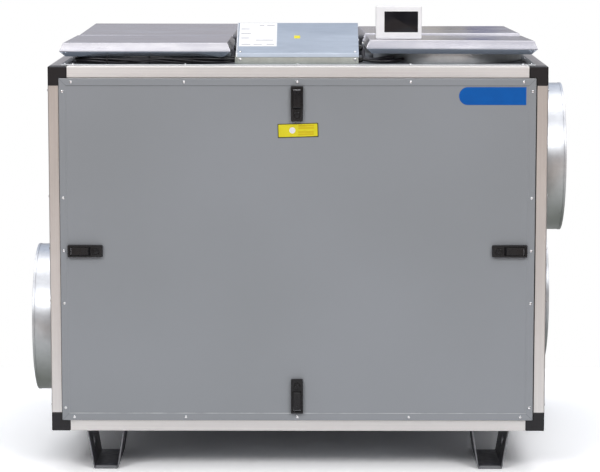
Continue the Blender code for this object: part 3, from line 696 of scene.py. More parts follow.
# How far each corner of the lip's section reaches out at the left and at the right, and forward
LIP = ((1.5, 3.2, 0.1), (1.5, 3.2, 2.2), (-1.0, -1.0, 2.2), (-1.0, -1.0, 0.1))
low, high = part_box("front_panel")
half, centre = (high - low) / 2, (low + high) / 2
lip = []
for left, right, forward in LIP:
    x_low, x_high = low.x - left * MM, high.x + right * MM
    z_low, z_high = low.z - left * MM, high.z + left * MM
    lip.append([(x, FRONT - forward * MM, z) for x, z in
                ((x_high, z_high), (x_low, z_high), (x_low, z_low), (x_high, z_low))])
piece("gasket_lip", skin(lip, closed=True), gasket_rubber)

# Painted highlight along the lower fold of the border and painted shade along the upper one
painted_highlight_fold, tree, shader = new_finish("painted_highlight_on_fold", "#b4b7ba", 0.40)
tones(tree, shader, grain(tree, 40), "#94979b", "#d2d4d6")
shaded_paint, tree, shader = new_finish("painted_shade_under_fold", "#5c5f63", 0.60)
tones(tree, shader, grain(tree, 60), "#55585c", "#64676b")
FOLD = 0.8 * MM
for name, z, paint in (("bottom", low.z + BORDER + FOLD / 2, painted_highlight_fold),
                       ("top", high.z - BORDER - FOLD / 2, shaded_paint)):
    fold = soft_slab(half.x - BORDER, FOLD, FOLD / 2, FOLD / 2, FOLD / 4, steps=1)
    piece(f"border_fold_{name}", placed(fold, (centre.x, FIELD, z), (1, 0, 0), (0, -1, 0)),
          paint)
print("gap on the right in mm:", LIP[0][1])

# %% [markdown]
# ## Stickers
#
# Stickers are thin film cut to shape. Each is a slab of a quarter of a millimetre with rounded
# corners, laid on the sheet that carries it, so its edge catches a little light. They are left
# plain, apart from a few bars and a disc that stand for print.

# %% Stickers on the front panel
FILM = 0.25 * MM
TILT = 0.03


def film(width, height, radius=1.0):
    """A film with rounded corners; sizes in mm."""
    return soft_slab(width / 2 * MM, height / 2 * MM, radius * MM, FILM, FILM / 2, steps=1)


def sticker(name, finish, x, z, width, height, radius=1.0, lift=0.0):
    """A film stuck on a little askew; sizes in mm, z down from the top of the casing."""
    place = (x * MM, FIELD - lift * MM, TOP - (z - TILT * x) * MM)
    return piece(name, placed(film(width, height, radius), place, (1, 0, TILT), (0, -1, 0)),
                 finish)


sticker("yellow_sticker_edge", vinyl["dark_print"], 0.4, 166.8, 106.8, 37.2, 2.0)
sticker("yellow_sticker", vinyl["yellow_vinyl"], 0.2, 166.6, 102.2, 32.6, 1.5, lift=0.15)
for row, z in enumerate((154.8, 160.9, 171.4, 177.5)):
    sticker(f"yellow_sticker_bar_{row}", vinyl["yellow_print"], 21.5, z, 41.0, 4.4, lift=0.3)
disc = turned([(8.0 * MM, 0), (8.0 * MM, 0.2 * MM)], 40)
piece("yellow_sticker_disc",
      placed(disc, (-14.5 * MM, FIELD - 0.3 * MM, TOP - 166.6 * MM), (1, 0, 0), (0, -1, 0)),
      vinyl["white_vinyl"])

BADGE_HALF, BADGE_ROUND = 88.0, 23.5
badge = [(BADGE_ROUND * (1 - math.sin(math.pi * i / 24)) - BADGE_HALF,
          BADGE_ROUND * math.cos(math.pi * i / 24)) for i in range(25)]
badge += [(BADGE_HALF, -BADGE_ROUND), (BADGE_HALF, BADGE_ROUND)]
plate = skin([[(x * MM, y * MM, 0) for x, y in badge],
              [(x * 0.998 * MM, y * 0.992 * MM, 0.4 * MM) for x, y in badge]])
piece("blue_badge", placed(plate, (509 * MM, FIELD, TOP - 76.5 * MM), (1, 0, 0), (0, -1, 0)),
      vinyl["blue_vinyl"])
print("stickers on the front: 8")

# %% [markdown]
# ## Duct collars
#
# A collar is a strip of galvanised sheet rolled into a ring, with a flange spun out at one end
# and the rim folded back on itself so that it has no raw edge. One profile turned on its axis
# gives all of that, and a fine count of segments keeps its outline round from the side.

# %% Turned collars
SHEET_TOP = 2.1
RIM = [(198.5, -0.3), (198.8, 0.0), (200.5, 0.0), (200.8, -0.4), (200.8, -5.8), (200.5, -6.3),
       (200.0, -6.6)]
FLANGE = [(200.0, 3.6), (200.5, 2.6), (201.6, 2.1), (211.7, 2.0), (212.0, 1.6), (212.0, 0.0),
          (200.0, 0.0)]
SIDE_REACH, INNER_END, TOP_REACH = 58.5, -48.0, 52.0
COLLAR_SEGMENTS = 160


def collar_profile(reach, inner_end=None):
    """The turned profile in metres of a collar that reaches out this many mm."""
    points = [(r, reach + z) for r, z in RIM]
    if inner_end is None:
        points += [(200.0, SHEET_TOP), (198.5, SHEET_TOP)]
    else:
        points += [(r, SHEET_TOP + z) for r, z in FLANGE]
        points += [(200.0, inner_end), (198.5, inner_end)]
    return [(r * MM, z * MM) for r, z in points]


for name, face in (("left_front", LEFT), ("right_front", RIGHT), ("right_rear", RIGHT)):
    low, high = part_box(f"collar_{name}")
    centre = (low + high) / 2
    centre.x = face
    ring = turned(collar_profile(SIDE_REACH, INNER_END), COLLAR_SEGMENTS, closed=True)
    piece(f"duct_collar_{name}", placed(ring, centre, (0, 0, 1), (math.copysign(1, face), 0, 0)),
          collar_zinc, replaces=[f"collar_{name}"])
for name in ("left_front", "left_rear", "right_front", "right_rear"):
    low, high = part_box(f"collar_top_{name}")
    centre = (low + high) / 2
    centre.z = TOP
    ring = turned(collar_profile(TOP_REACH), COLLAR_SEGMENTS, closed=True)
    piece(f"duct_collar_top_{name}", placed(ring, centre, (1, 0, 0), (0, 0, 1)),
          collar_zinc, replaces=[f"collar_top_{name}"])
print("collars: 7")

# %% [markdown]
# ## Lids
#
# The lids are sheet trays laid upside down over the top collars. A press brake folds the four
# sides down and out, and then the hems back in, so each corner keeps a narrow open mitre. One
# side is drawn as a strip that follows the folds and is copied round the plate, and Solidify
# gives the sheet its thickness.

# %% One folded lid


def folds(corners, radius, steps=3):
    """A line through the corners with each bend rounded."""
    corners = [Vector(c) for c in corners]
    line = [corners[0]]
    for before, at_bend, after in zip(corners, corners[1:], corners[2:]):
        into, out = (at_bend - before).normalized(), (after - at_bend).normalized()
        turn = math.atan2(into.x * out.y - into.y * out.x, into.dot(out))
        start = at_bend - into * radius * abs(math.tan(turn / 2))
        inward = math.copysign(radius, turn) * Vector((-into.y, into.x))
        for i in range(steps + 1):
            step = Matrix.Rotation(turn * i / steps, 2)
            line.append(start + inward - step @ inward)
    return line + [corners[-1]]


LID_SHEET = 1.5
LID_FOLDS = ((205.0, 0.0), (217.0, 0.0), (226.0, -22.2), (210.5, -36.0))
MITRE = 0.5


def lid_sheet():
    """The lid's outer skin about its middle, open along the mitres."""
    bm = bmesh.new()
    line = folds([(d * MM, z * MM) for d, z in LID_FOLDS], 2.5 * MM)
    start = line[0].x
    plate = [bm.verts.new((x * start, y * start, 0)) for x, y in
             ((1, -1), (1, 1), (-1, 1), (-1, -1))]
    bm.faces.new(plate)
    for quarter in range(4):
        turn = Matrix.Rotation(math.pi / 2 * quarter, 3, "Z")
        last = (plate[quarter], plate[(quarter + 1) % 4])
        for number, (d, z) in enumerate(line[1:]):
            half = d - MITRE * MM * (number > 0)
            pair = [bm.verts.new(turn @ Vector((d, y * half, z))) for y in (-1, 1)]
            bm.faces.new((last[0], pair[0], pair[1], last[1]))
            last = pair
    return bm


def modelled(things):
    """The first object's mesh with its modifiers carried out; the objects are taken away."""
    bpy.context.view_layer.update()
    graph = bpy.context.evaluated_depsgraph_get()
    result = bmesh.new()
    result.from_mesh(things[0].evaluated_get(graph).to_mesh())
    for thing in things:
        bpy.data.objects.remove(thing)
    return result


def thickened(bm, thickness):
    """The sheet with its thickness, laid on inside its skin."""
    thing = as_object("sheet", bm)
    step = thing.modifiers.new("thickness", "SOLIDIFY")
    step.thickness = thickness
    step.offset = -1
    step.use_even_offset = True
    return modelled([thing])


print("lid across its folds in mm:", 2 * LID_FOLDS[2][0])

# %% [markdown]
# ## Where the lids lie
#
# A loose lid lies as what is under it lets it, so each has its own height and slope. The two at
# the back are also turned a little and don't sit square over their collars.

# %% Four lids
# Height, slopes down to the back and to the right, steps off the collar's middle, and turn
LID_PLACES = {"left_front": (55.8, 0.0083, 0.0, 0.0, 0.0, 0.0),
              "left_rear": (57.9, -0.0253, 0.0, 7.0, 8.0, -1.48),
              "right_front": (59.5, 0.0233, 0.0057, 2.0, 0.0, 0.0),
              "right_rear": (57.0, 0.0055, 0.0, -7.0, 8.0, 1.48)}
for name, (rest, back, right, off_x, off_y, turn) in LID_PLACES.items():
    low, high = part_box(f"collar_top_{name}")
    bm = lid_sheet()
    lay = Matrix.Rotation(math.radians(turn), 4, "Z") @ Matrix.Rotation(math.atan(right), 4, "Y")
    lay = lay @ Matrix.Rotation(-math.atan(back), 4, "X")
    lay.translation = ((low.x + high.x) / 2 + off_x * MM, (low.y + high.y) / 2 + off_y * MM,
                       TOP + rest * MM)
    bm.transform(lay)
    bmesh.ops.recalc_face_normals(bm, faces=bm.faces)
    piece(f"folded_lid_{name}", thickened(bm, LID_SHEET * MM), lid_zinc,
          replaces=[f"lid_{name}"])
    print(name, "lid rests", rest, "mm above the casing")

# %% [markdown]
# ## Control box cover
#
# The cover is one sheet, bent where the short front face meets the long slope. Its line is drawn
# from the side, given its thickness and stretched across the box. Four screws hold it, two in
# the cover and two in the box below it.

# %% Cover of the control box
COVER_LINE = [Vector(place) for place in ((75.0, 20.0), (83.0, 30.0), (250.0, 101.5))]
COVER_HALF, COVER_SHEET = 160.5, 2.0
# A folded-out flange shows along the left side, between these distances past the cover
FLANGE_REACH = (3.6, 0.1)
SLOPE = (COVER_LINE[2] - COVER_LINE[1]).normalized()
SLOPE_OUT = Vector((-SLOPE.y, SLOPE.x))


def thick_line(line, thickness):
    """A closed outline round a line, its other side set in by the thickness."""
    ends = [line[0] * 2 - line[1], *line, line[-1] * 2 - line[-2]]
    inside = []
    for before, here, after in zip(ends, ends[1:], ends[2:]):
        into, out = (here - before).normalized(), (after - here).normalized()
        mean = (into + out).normalized()
        reach = thickness / max(0.5, mean.dot(out))
        inside.append(here + Vector((mean.y, -mean.x)) * reach)
    return list(line) + inside[::-1]


outline = thick_line(folds(COVER_LINE, 3.0), COVER_SHEET)
cover = skin([[at(x, back, up) for back, up in outline] for x in (-COVER_HALF, COVER_HALF)])
soften(piece("bent_cover", cover, cover_zinc, replaces=["control_cover"]), 0.4)
flange = skin([[at(-COVER_HALF - past, back, up) for back, up in outline]
               for past in FLANGE_REACH])
soften(piece("cover_flange", flange, screw_zinc), 0.4)
print("cover slope in degrees:", round(math.degrees(math.atan2(SLOPE.y, SLOPE.x)), 1))

# %% Screws of the cover
SCREWS_ACROSS = (-153, 151)
COVER_SCREW_BACK, BOX_SCREW = 90, (76, 13.5)


def on_cover(x, back, lift=0.0):
    """A place on the slope of the cover, lifted off it by a distance in mm."""
    up = COVER_LINE[1].y + (back - COVER_LINE[1].x) * SLOPE.y / SLOPE.x
    return at(x, back + SLOPE_OUT.x * lift, up + SLOPE_OUT.y * lift)


slope_normal = (0, SLOPE_OUT.x, SLOPE_OUT.y)
heads = [driven(on_cover(x, COVER_SCREW_BACK), slope_normal) for x in SCREWS_ACROSS]
heads += [driven(at(x, *BOX_SCREW), (0, -1, 0)) for x in SCREWS_ACROSS]
piece("screws_control_box", joined(heads), screw_zinc)
print("screws of the control box:", len(heads))

# %% [markdown]
# ## Stickers on the cover
#
# The white sticker lies on the slope, with faint bars where there would be print. A place on
# the slope is given by how far back it is, and its height follows from the cover.

# %% Stickers on the cover


def cover_sticker(name, finish, x, back, width, height, lift=0.0):
    """A film sticker on the cover's slope; sizes in mm, centred at x and back."""
    place = on_cover(x, back, lift)
    return piece(name, placed(film(width, height), place, (1, 0, 0), slope_normal), finish)


# Place across, place back and width of each bar
BARS = ((-142, 215, 22), (-140, 190, 26), (-142, 165, 20), (-90, 153, 46), (-139, 130, 24),
        (-108, 130, 22), (-74, 130, 20), (-98, 234, 12), (-74, 234, 20))
cover_sticker("white_sticker", vinyl["white_vinyl"], -107.5, 184.0, 101.0, 140.0)
for number, (x, back, width) in enumerate(BARS):
    cover_sticker(f"white_sticker_bar_{number}", vinyl["faint_print"], x, back, width, 4.0,
                  lift=0.12)
cover_sticker("yellow_patch", vinyl["yellow_vinyl"], -3.0, 171.0, 16.0, 17.0)
print("stickers on the cover:", len(BARS) + 2)

# %% [markdown]
# ## Cables and conduits
#
# A bundle of black cables leaves the left of the control box and lies on the top, under the
# edge of the lid, until it goes through the wall of the collar. A ribbed conduit leaves the box
# on each side, and one more cable on the right. Each is swept along the same route as its CAD
# node: a smooth curve through listed places, with a ring of points at each step.

# %% Sweeping along a route


def smooth_route(knots, spacing):
    """Points a spacing apart along a smooth curve through the knots."""
    knots = [Vector(k) for k in knots]
    ends = [2 * knots[0] - knots[1]] + knots + [2 * knots[-1] - knots[-2]]
    points = []
    for before, a, b, after in zip(ends, ends[1:], ends[2:], ends[3:]):
        steps = max(1, round((b - a).length / spacing))
        for i in range(steps):
            t = i / steps
            points.append(0.5 * (2 * a + (b - before) * t
                                 + (2 * before - 5 * a + 4 * b - after) * t ** 2
                                 + (3 * a - before - 3 * b + after) * t ** 3))
    return points + [knots[-1]]


def swept(points, radius_at, sides=14):
    """A round form along the points; radius_at gives its radius at each step."""
    ahead = [(b - a).normalized() for a, b in zip(points, points[1:])]
    ahead.append(ahead[-1])
    side = ahead[0].orthogonal().normalized()
    rings = []
    for number, (place, along) in enumerate(zip(points, ahead)):
        side = (side - along * side.dot(along)).normalized()
        across = along.cross(side)
        rings.append([place + side * x + across * y
                      for x, y in circle(radius_at(number), sides)])
    return skin(rings)


BUNDLE = ((-167.5, 100.0, 12.5), (-176.0, 100.0, 12.5), (-195.0, 95.0, 11.6),
          (-215.0, 85.0, 11.0), (-240.0, 76.5, 11.0), (-280.0, 72.5, 10.8),
          (-330.0, 71.0, 11.0), (-380.0, 72.0, 11.3), (-430.0, 70.5, 11.0),
          (-480.0, 71.5, 10.7), (-525.0, 74.0, 10.9), (-560.0, 84.0, 11.0),
          (-582.0, 105.0, 11.0), (-586.0, 130.0, 11.8), (-575.0, 148.6, 13.0),
          (-560.5, 160.2, 13.5))
middle_line = smooth_route([at(*knot) for knot in BUNDLE], 6 * MM)
print("bundle in mm:", round(sum((b - a).length for a, b in
                                 zip(middle_line, middle_line[1:])) / MM))

# %% [markdown]
# ## The bundle
#
# Five strands wander round the middle line, because laid cables never run quite parallel. The
# angle of each grows along the route with a drift of its own, and three nylon ties hold them.

# %% The bundle
STRANDS, STRAND_RADIUS = 5, 3.1
SPREAD_ACROSS, SPREAD_UP = 5.6, 5.0
wander = random.Random(11)
last = len(middle_line) - 1
strands = []
for number in range(STRANDS):
    phase = math.tau * number / STRANDS
    drift = wander.uniform(0.8, 1.4)
    places = []
    for step, place in enumerate(middle_line):
        share = step / last
        nearby = middle_line[min(step + 1, last)] - middle_line[max(step - 1, 0)]
        across = Vector((-nearby.y, nearby.x, 0)).normalized()
        angle = phase + drift * 5.0 * share + 0.5 * math.sin(9 * share + number)
        places.append(place + (across * math.cos(angle) * SPREAD_ACROSS
                               + Vector((0, 0, 1)) * math.sin(angle) * SPREAD_UP) * MM)
    strands.append(swept(places, lambda step: STRAND_RADIUS * MM))
piece("cable_strands", joined(strands), pvc_jacket, replaces=["cable_bundle"])
print("strands:", STRANDS)

# %% Cable ties
TIES_AT = (0.24, 0.46, 0.68)
ties = []
for share in TIES_AT:
    step = round(share * last)
    along = (middle_line[step + 1] - middle_line[step]).normalized()
    across = Vector((-along.y, along.x, 0))
    band = [[(x * 1.02, y, z) for x, y in rounded_rectangle(9.0 * MM, 8.6 * MM, 6 * MM)]
            for z in (-1.8 * MM, 1.8 * MM)]
    ties.append(placed(skin(band), middle_line[step], across, along))
    knot = soft_slab(2.6 * MM, 2.2 * MM, 0.6 * MM, 4.2 * MM, 0.6 * MM)
    ties.append(placed(knot, middle_line[step] - across * 2 * MM + Vector((0, 0, 6.5 * MM)),
                       across, (0, 0, 1)))
piece("cable_ties", joined(ties), latch_nylon)
print("ties:", len(TIES_AT))

# %% [markdown]
# ## Conduits and the right cable
#
# Conduit is ribbed so that it can bend. Its radius steps up and down along the route by less
# than a millimetre, which gives a rib every four steps. One pair drops from the sides of the
# box to the front collars, and one pair leaves higher up and runs down towards the back.

# %% Conduits and the right cable
RIB_STEPS, RIB_SPACING = (5.5, 5.5, 4.7, 4.7), 0.9
CONDUIT = ((166.8, 150.0, 40.0), (170.0, 150.0, 40.0), (172.4, 149.5, 36.8),
           (173.0, 148.0, 29.0), (173.5, 144.5, 21.5), (175.5, 139.0, 15.0),
           (182.0, 132.0, 11.5), (193.0, 126.0, 10.5), (207.0, 124.0, 11.0),
           (221.0, 129.0, 12.5), (236.0, 140.3, 14.0), (252.2, 154.3, 15.0))
REAR = ((161.0, 226.0, 64.0), (166.0, 226.5, 64.0), (170.0, 229.0, 64.0), (171.5, 236.0, 64.0),
        (171.5, 255.0, 64.5), (171.0, 300.0, 60.0), (169.5, 335.0, 48.0), (168.5, 365.0, 34.0),
        (168.0, 398.0, 17.0), (168.0, 410.0, 6.0))
for kind, knots in (("ribbed", CONDUIT), ("rear", REAR)):
    for side, name in ((-1, "left"), (1, "right")):
        route = smooth_route([at(side * x, back, up) for x, back, up in knots],
                             RIB_SPACING * MM)
        ribbed = swept(route, lambda step: RIB_STEPS[step % 4] * MM, 16)
        piece(f"{kind}_conduit_{name}", ribbed, conduit_plastic,
              replaces=[f"conduit_{name}"] if kind == "ribbed" else ())
CABLE = ((166.8, 102.0, 11.5), (174.0, 102.0, 11.5), (188.0, 100.0, 10.2), (205.0, 95.0, 8.5),
         (225.0, 92.0, 8.0), (245.0, 96.0, 8.5), (261.0, 107.0, 10.0), (271.4, 119.7, 11.5),
         (278.9, 129.1, 12.0))
route = smooth_route([at(*knot) for knot in CABLE], 4 * MM)
piece("right_cable", swept(route, lambda step: 4.0 * MM), pvc_jacket,
      replaces=["cable_right"])
print("rib every", 4 * RIB_SPACING, "mm")

# %% [markdown]
# ## Cable glands
#
# A gland holds a cable where it enters the box. It is moulded nylon: a hexagon for the spanner
# and a domed nut that closes round the cable.

# %% Glands


def gland(radius, bore):
    """A gland along +Z from the box wall, sizes in mm."""
    rings = [(radius * 0.94, 0.0), (radius, 0.6), (radius, 5.2), (radius * 0.94, 5.8)]
    hexagon = [[(x * MM, y * MM, z * MM) for x, y in circle(r, 6)] for r, z in rings]
    dome = [(radius * 0.88, 5.8), (radius * 0.88, 9.0), (radius * 0.80, 11.0),
            (bore + 0.6, 12.6), (bore, 12.8), (bore, 5.9)]
    return joined([skin(hexagon), turned([(r * MM, z * MM) for r, z in dome], 24)])


# Across, back and up on the box, then the gland's radius and its bore
GLANDS = ((159.6, 150, 40, 9.2, 5.6), (-159.6, 150, 40, 9.2, 5.6), (159.6, 102, 11.5, 8.2, 4.1))
glands = [placed(gland(radius, bore), at(x, back, up), (0, 0, 1), (math.copysign(1, x), 0, 0))
          for x, back, up, radius, bore in GLANDS]
piece("cable_glands", joined(glands), latch_nylon)
print("glands:", len(glands))

# %% [markdown]
# ## Touch panel
#
# The panel is moulded in two shells with generous corners, and its screen lies a little below the
# bezel. The front shell is a soft slab with a window, built as rings that go in from the outer
# edge and then down to the glass.

# %% Touch panel
low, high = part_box("touch_panel")
screen_low, screen_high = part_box("touch_screen")
# The window is a little larger than the CAD screen, mostly below it and on its right
screen_low.z -= 2.2 * MM
screen_high.x += 2.6 * MM
screen_high.z += 0.8 * MM
panel_half = (high - low) / 2
screen_half = (screen_high - screen_low) / 2
shift = (screen_low + screen_high) / 2 - (low + high) / 2
depth = high.y - low.y


def window_ring(inset, z, share):
    """A ring of the shell: share 0 lies on its outline and 1 on the screen's window."""
    outer = rounded_rectangle(panel_half.x - inset, panel_half.z - inset, 5 * MM - inset)
    inner = rounded_rectangle(screen_half.x + inset, screen_half.z + inset, 1.6 * MM)
    return [(ox * (1 - share) + (ix + shift.x) * share, oy * (1 - share) + (iy + shift.z) * share,
             z) for (ox, oy), (ix, iy) in zip(outer, inner)]


EDGE = 3.0 * MM
rings = [window_ring(2.0 * MM, 0.0, 0), window_ring(0.6 * MM, 0.5 * MM, 0),
         window_ring(0.0, 2.0 * MM, 0)]
for i in range(5):
    a = math.pi / 8 * i
    rings.append(window_ring(EDGE * (1 - math.cos(a)), depth - EDGE + EDGE * math.sin(a), 0))
rings += [window_ring(0.5 * MM, depth, 1), window_ring(0.1 * MM, depth - 0.3 * MM, 1),
          window_ring(0.0, depth - 2.0 * MM, 1)]
centre = Vector(((low.x + high.x) / 2, high.y, (low.z + high.z) / 2))
shell = placed(skin(rings), centre, (1, 0, 0), (0, -1, 0))
piece("touch_panel_shell", shell, white_abs, replaces=["touch_panel"])
glass = soft_slab(screen_half.x, screen_half.z, 1.5 * MM, 1.4 * MM, 0.2 * MM)
spot = (screen_low + screen_high) / 2
spot.y = low.y + 2.0 * MM
piece("touch_panel_glass", placed(glass, spot, (1, 0, 0), (0, -1, 0)), screen_glass,
      replaces=["touch_screen"])
print("touch panel in mm:", [round(v / MM) for v in high - low])

# %% [markdown]
# ## Latches
#
# A latch has a moulded housing with a long pocket, a lever that lies in the pocket and a round
# lock in a shield-shaped well. The housing is made by cutting and joining closed shapes. The
# lever is its own piece, because it swings out on its pivot.

# %% Cutting shapes


def carved(base, steps):
    """The base with other shapes cut out of it or joined to it in turn."""
    things = [as_object("shape", bm) for bm in [base] + [bm for _, bm in steps]]
    for (operation, _), other in zip(steps, things[1:]):
        step = things[0].modifiers.new(operation, "BOOLEAN")
        step.operation = operation
        step.object = other
    return modelled(things)


def prism(points, low, high):
    """A closed outline in mm stood up between two heights."""
    return skin([[(x * MM, y * MM, z * MM) for x, y in points] for z in (low, high)])


# The housing from above: its middle, its length, and half its width at both ends
HOUSING_MIDDLE, HOUSING_LENGTH, OUTER_HALF, INNER_HALF = 46.0, 92.0, 16.25, 15.5
# How far its side leans in at each height
RISE = ((0, 0), (0, 10.6), (0.3, 11.4), (0.8, 11.85), (1.4, 12.0))
POCKET_MIDDLE, POCKET_FLOOR, WELL_FLOOR, ABOVE_ALL = 32.5, 2.5, 9.2, 20
SHIELD = [(63.5, -9.5), (74.0, -9.5), (80.0, -8.0), (84.5, -4.5), (86.5, 0.0), (84.5, 4.5),
          (80.0, 8.0), (74.0, 9.5), (63.5, 9.5)]
LOCK_MIDDLE, KEYWAY_FLOOR = 74.0, 11.4
LOCK = ((7.4, 8.0), (7.4, 12.4), (7.1, 12.9), (6.5, 13.2))


def housing():
    """The latch housing: X from its outer end, Z out of the panel."""
    outline = folds([(HOUSING_MIDDLE, -OUTER_HALF), (HOUSING_LENGTH, -INNER_HALF),
                     (HOUSING_LENGTH, INNER_HALF), (HOUSING_MIDDLE, OUTER_HALF)], 2.5, 4)
    outline += folds([(HOUSING_MIDDLE, OUTER_HALF), (0, OUTER_HALF), (0, -OUTER_HALF),
                      (HOUSING_MIDDLE, -OUTER_HALF)], 2.2, 4)[1:-1]
    sides = skin([[((HOUSING_MIDDLE + (x - HOUSING_MIDDLE) * (1 - inset / HOUSING_MIDDLE)) * MM,
                    y * (1 - inset / OUTER_HALF) * MM, z * MM) for x, y in outline]
                  for inset, z in RISE])
    pocket = prism([(x + POCKET_MIDDLE, y) for x, y in rounded_rectangle(27.5, 11.5, 1.2)],
                   POCKET_FLOOR, ABOVE_ALL)
    well = prism(SHIELD, WELL_FLOOR, ABOVE_ALL)
    barrel = turned([(r * MM, z * MM) for r, z in LOCK], 40)
    bmesh.ops.translate(barrel, verts=barrel.verts, vec=(LOCK_MIDDLE * MM, 0, 0))
    keyway = prism([(x + LOCK_MIDDLE, y) for x, y in rounded_rectangle(3.6, 0.9, 0.8)],
                   KEYWAY_FLOOR, ABOVE_ALL)
    return carved(sides, [("DIFFERENCE", pocket), ("DIFFERENCE", well), ("UNION", barrel),
                          ("DIFFERENCE", keyway)])


print("housing length in mm:", HOUSING_LENGTH)

# %% The lever
LEVER_LINE = ((10.5, 3.3), (7.4, 4.4), (6.2, 7.0), (6.6, 8.8), (10.2, 12.6), (11.8, 13.0),
              (53.8, 13.0), (58.8, 9.6), (58.8, 7.4), (48.8, 3.3))
LEVER_HALF, LEVER_EDGE = 10.4, 0.6
# The middle of that line, and half its length and height
LEVER_X, LEVER_Z, LEVER_LONG, LEVER_HIGH = 32.5, 8.2, 26, 4.8


def lever():
    """The lever from the side, with softened long edges."""
    rings = []
    for y, inset in ((-LEVER_HALF, LEVER_EDGE), (-LEVER_HALF + LEVER_EDGE, 0.0),
                     (LEVER_HALF - LEVER_EDGE, 0.0), (LEVER_HALF, LEVER_EDGE)):
        rings.append([((LEVER_X + (x - LEVER_X) * (1 - inset / LEVER_LONG)) * MM, y * MM,
                       (LEVER_Z + (z - LEVER_Z) * (1 - inset / LEVER_HIGH)) * MM)
                      for x, z in LEVER_LINE])
    return skin(rings)


print("lever length in mm:", round(LEVER_LINE[7][0] - LEVER_LINE[2][0], 1))

# %% [markdown]
# ## Where the latches sit
#
# One latch sits in the middle of each side of the front panel, its lever towards the edge. A
# strip of bright steel on the lever's nose is a painted highlight: it draws the thin bright line
# where the rounded nose catches the light.

# %% Four latches
END = 50.5 * MM
SIDE = (RIGHT - LEFT) / 2 - END
UPRIGHT_SHIFT, SIDE_SHIFT = -2.5 * MM, -1.5 * MM
NOSE, NOSE_OUT = (8.2 * MM, 0, 10.6 * MM), (-0.72, 0, 0.69)
LATCHES = {"top": ((UPRIGHT_SHIFT, TOP - END), (0, 0, -1)),
           "bottom": ((UPRIGHT_SHIFT, BOTTOM + END), (0, 0, 1)),
           "left": ((SIDE_SHIFT - SIDE, MIDDLE.z), (1, 0, 0)),
           "right": ((SIDE_SHIFT + SIDE, MIDDLE.z), (-1, 0, 0))}
for name, ((x, z), along) in LATCHES.items():
    base = Vector((x, FIELD, z))
    made = piece(f"latch_housing_{name}", placed(housing(), base, along, (0, -1, 0)),
                 latch_nylon, replaces=[f"latch_{name}"])
    soften(made, 0.35)
    made = piece(f"latch_lever_{name}", placed(lever(), base, along, (0, -1, 0)),
                 latch_nylon, body=f"lever_{name}",
                 replaces=[f"lever_{name}"])
    soften(made, 0.5)
    # The painted highlight strip on the lever's nose
    strip = placed(soft_slab(10 * MM, 2.0 * MM, 0.4 * MM, 0.3 * MM, 0.1 * MM, steps=1),
                   NOSE, (0, 1, 0), NOSE_OUT)
    piece(f"lever_highlight_strip_{name}", placed(strip, base, along, (0, -1, 0)), highlight_strip_steel,
          body=f"lever_{name}")
print("latches:", len(LATCHES))

# %% [markdown]
# ## Bolts and toes of the feet
#
# Each foot's two lips are bolted up into the casing. The hexagon heads sit under the lips, where
# they can be reached from the side. A small rounded toe of the same sheet closes the outer end
# of each sole.

# %% Bolts and toes
# The radius and height of each ring of a bolt's head, then its place in from the foot's box
BOLT = ((7.5, 0.0), (7.5, 4.4), (6.8, 5.0))
IN_ACROSS, IN_BACK, LIP_SHEET = 13 * MM, 45 * MM, 3.0 * MM
TOE_IN, TOE_UP = 2.7 * MM, 4.7 * MM
bolts = []
for name in ("front_left", "front_right", "rear_left", "rear_right"):
    low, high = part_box(f"foot_{name}")
    for x in (low.x + IN_ACROSS, high.x - IN_ACROSS):
        for y in (low.y + IN_BACK, high.y - IN_BACK):
            head = [[(px * MM, py * MM, z * MM) for px, py in circle(r, 6)] for r, z in BOLT]
            bolts.append(placed(skin(head), (x, y, high.z - LIP_SHEET), (1, 0, 0), (0, 0, -1)))
    front = name.startswith("front")
    toe = soft_slab(29.0 * MM, 4.6 * MM, 3.6 * MM, 2.6 * MM, 0.8 * MM)
    spot = ((low.x + high.x) / 2, low.y + TOE_IN if front else high.y - TOE_IN, TOE_UP)
    piece(f"foot_toe_{name}", placed(toe, spot, (1 if front else -1, 0, 0),
                                     (0, -1 if front else 1, 0)), foot_coat)
piece("foot_bolts", joined(bolts), screw_zinc)
print("bolts:", len(bolts))

# %% [markdown]
# ## Studio floor
#
# The unit stands on a strip of pale paper that comes forward towards the camera. The camera's
# exposure blows the paper out to white, as in a catalogue picture, so the shader brightens it for
# camera rays alone. What the metal mirrors is the plain paper.

# %% Floor
PAPER_GAIN = 1.50
PAPER = ((-1.05, -6.0), (1.05, -6.0), (1.05, 1.0), (-1.05, 1.0))
floor_paper, tree, shader = new_finish("pale_paper", "#f2f2f3", 0.70, Specular_IOR_Level=0.2)
paper = tones(tree, shader, grain(tree, 900), "#f0f0f1", "#f4f4f5")
seen = add_node(tree, "LightPath", output="Is Camera Ray")
gain = add_node(tree, "MapRange", {"Value": seen, "To Min": 1.0, "To Max": PAPER_GAIN})
paper = add_node(tree, "VectorMath", {0: paper, "Scale": gain}, operation="SCALE")
tree.links.new(paper, shader.inputs["Base Color"])
bm = bmesh.new()
bm.faces.new([bm.verts.new((x, y, 0)) for x, y in PAPER])
floor = as_object("floor", bm)
floor.data.materials.append(floor_paper)
floor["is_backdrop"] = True
print("paper in m:", PAPER[2][0] - PAPER[0][0], "by", PAPER[2][1] - PAPER[0][1])

# %% [markdown]
# ## Studio lights
#
# One wide soft light hangs over the unit. Two equal ones stand high in front, to its left and
# right, so that both sides of the front are lit alike and the shadow under it fades forwards. A
# light's strength is given as brightness, and its power follows from its area.

# %% Lights


def softbox(name, place, size, brightness):
    """A rectangular light that faces the unit."""
    lamp = bpy.data.lights.new(name, "AREA")
    lamp.shape = "RECTANGLE"
    lamp.size, lamp.size_y = size
    lamp.energy = brightness * math.pi * size[0] * size[1]
    made = bpy.data.objects.new(name, lamp)
    made.location = place
    made.rotation_euler = (MIDDLE - Vector(place)).to_track_quat("-Z", "Y").to_euler()
    scene.collection.objects.link(made)


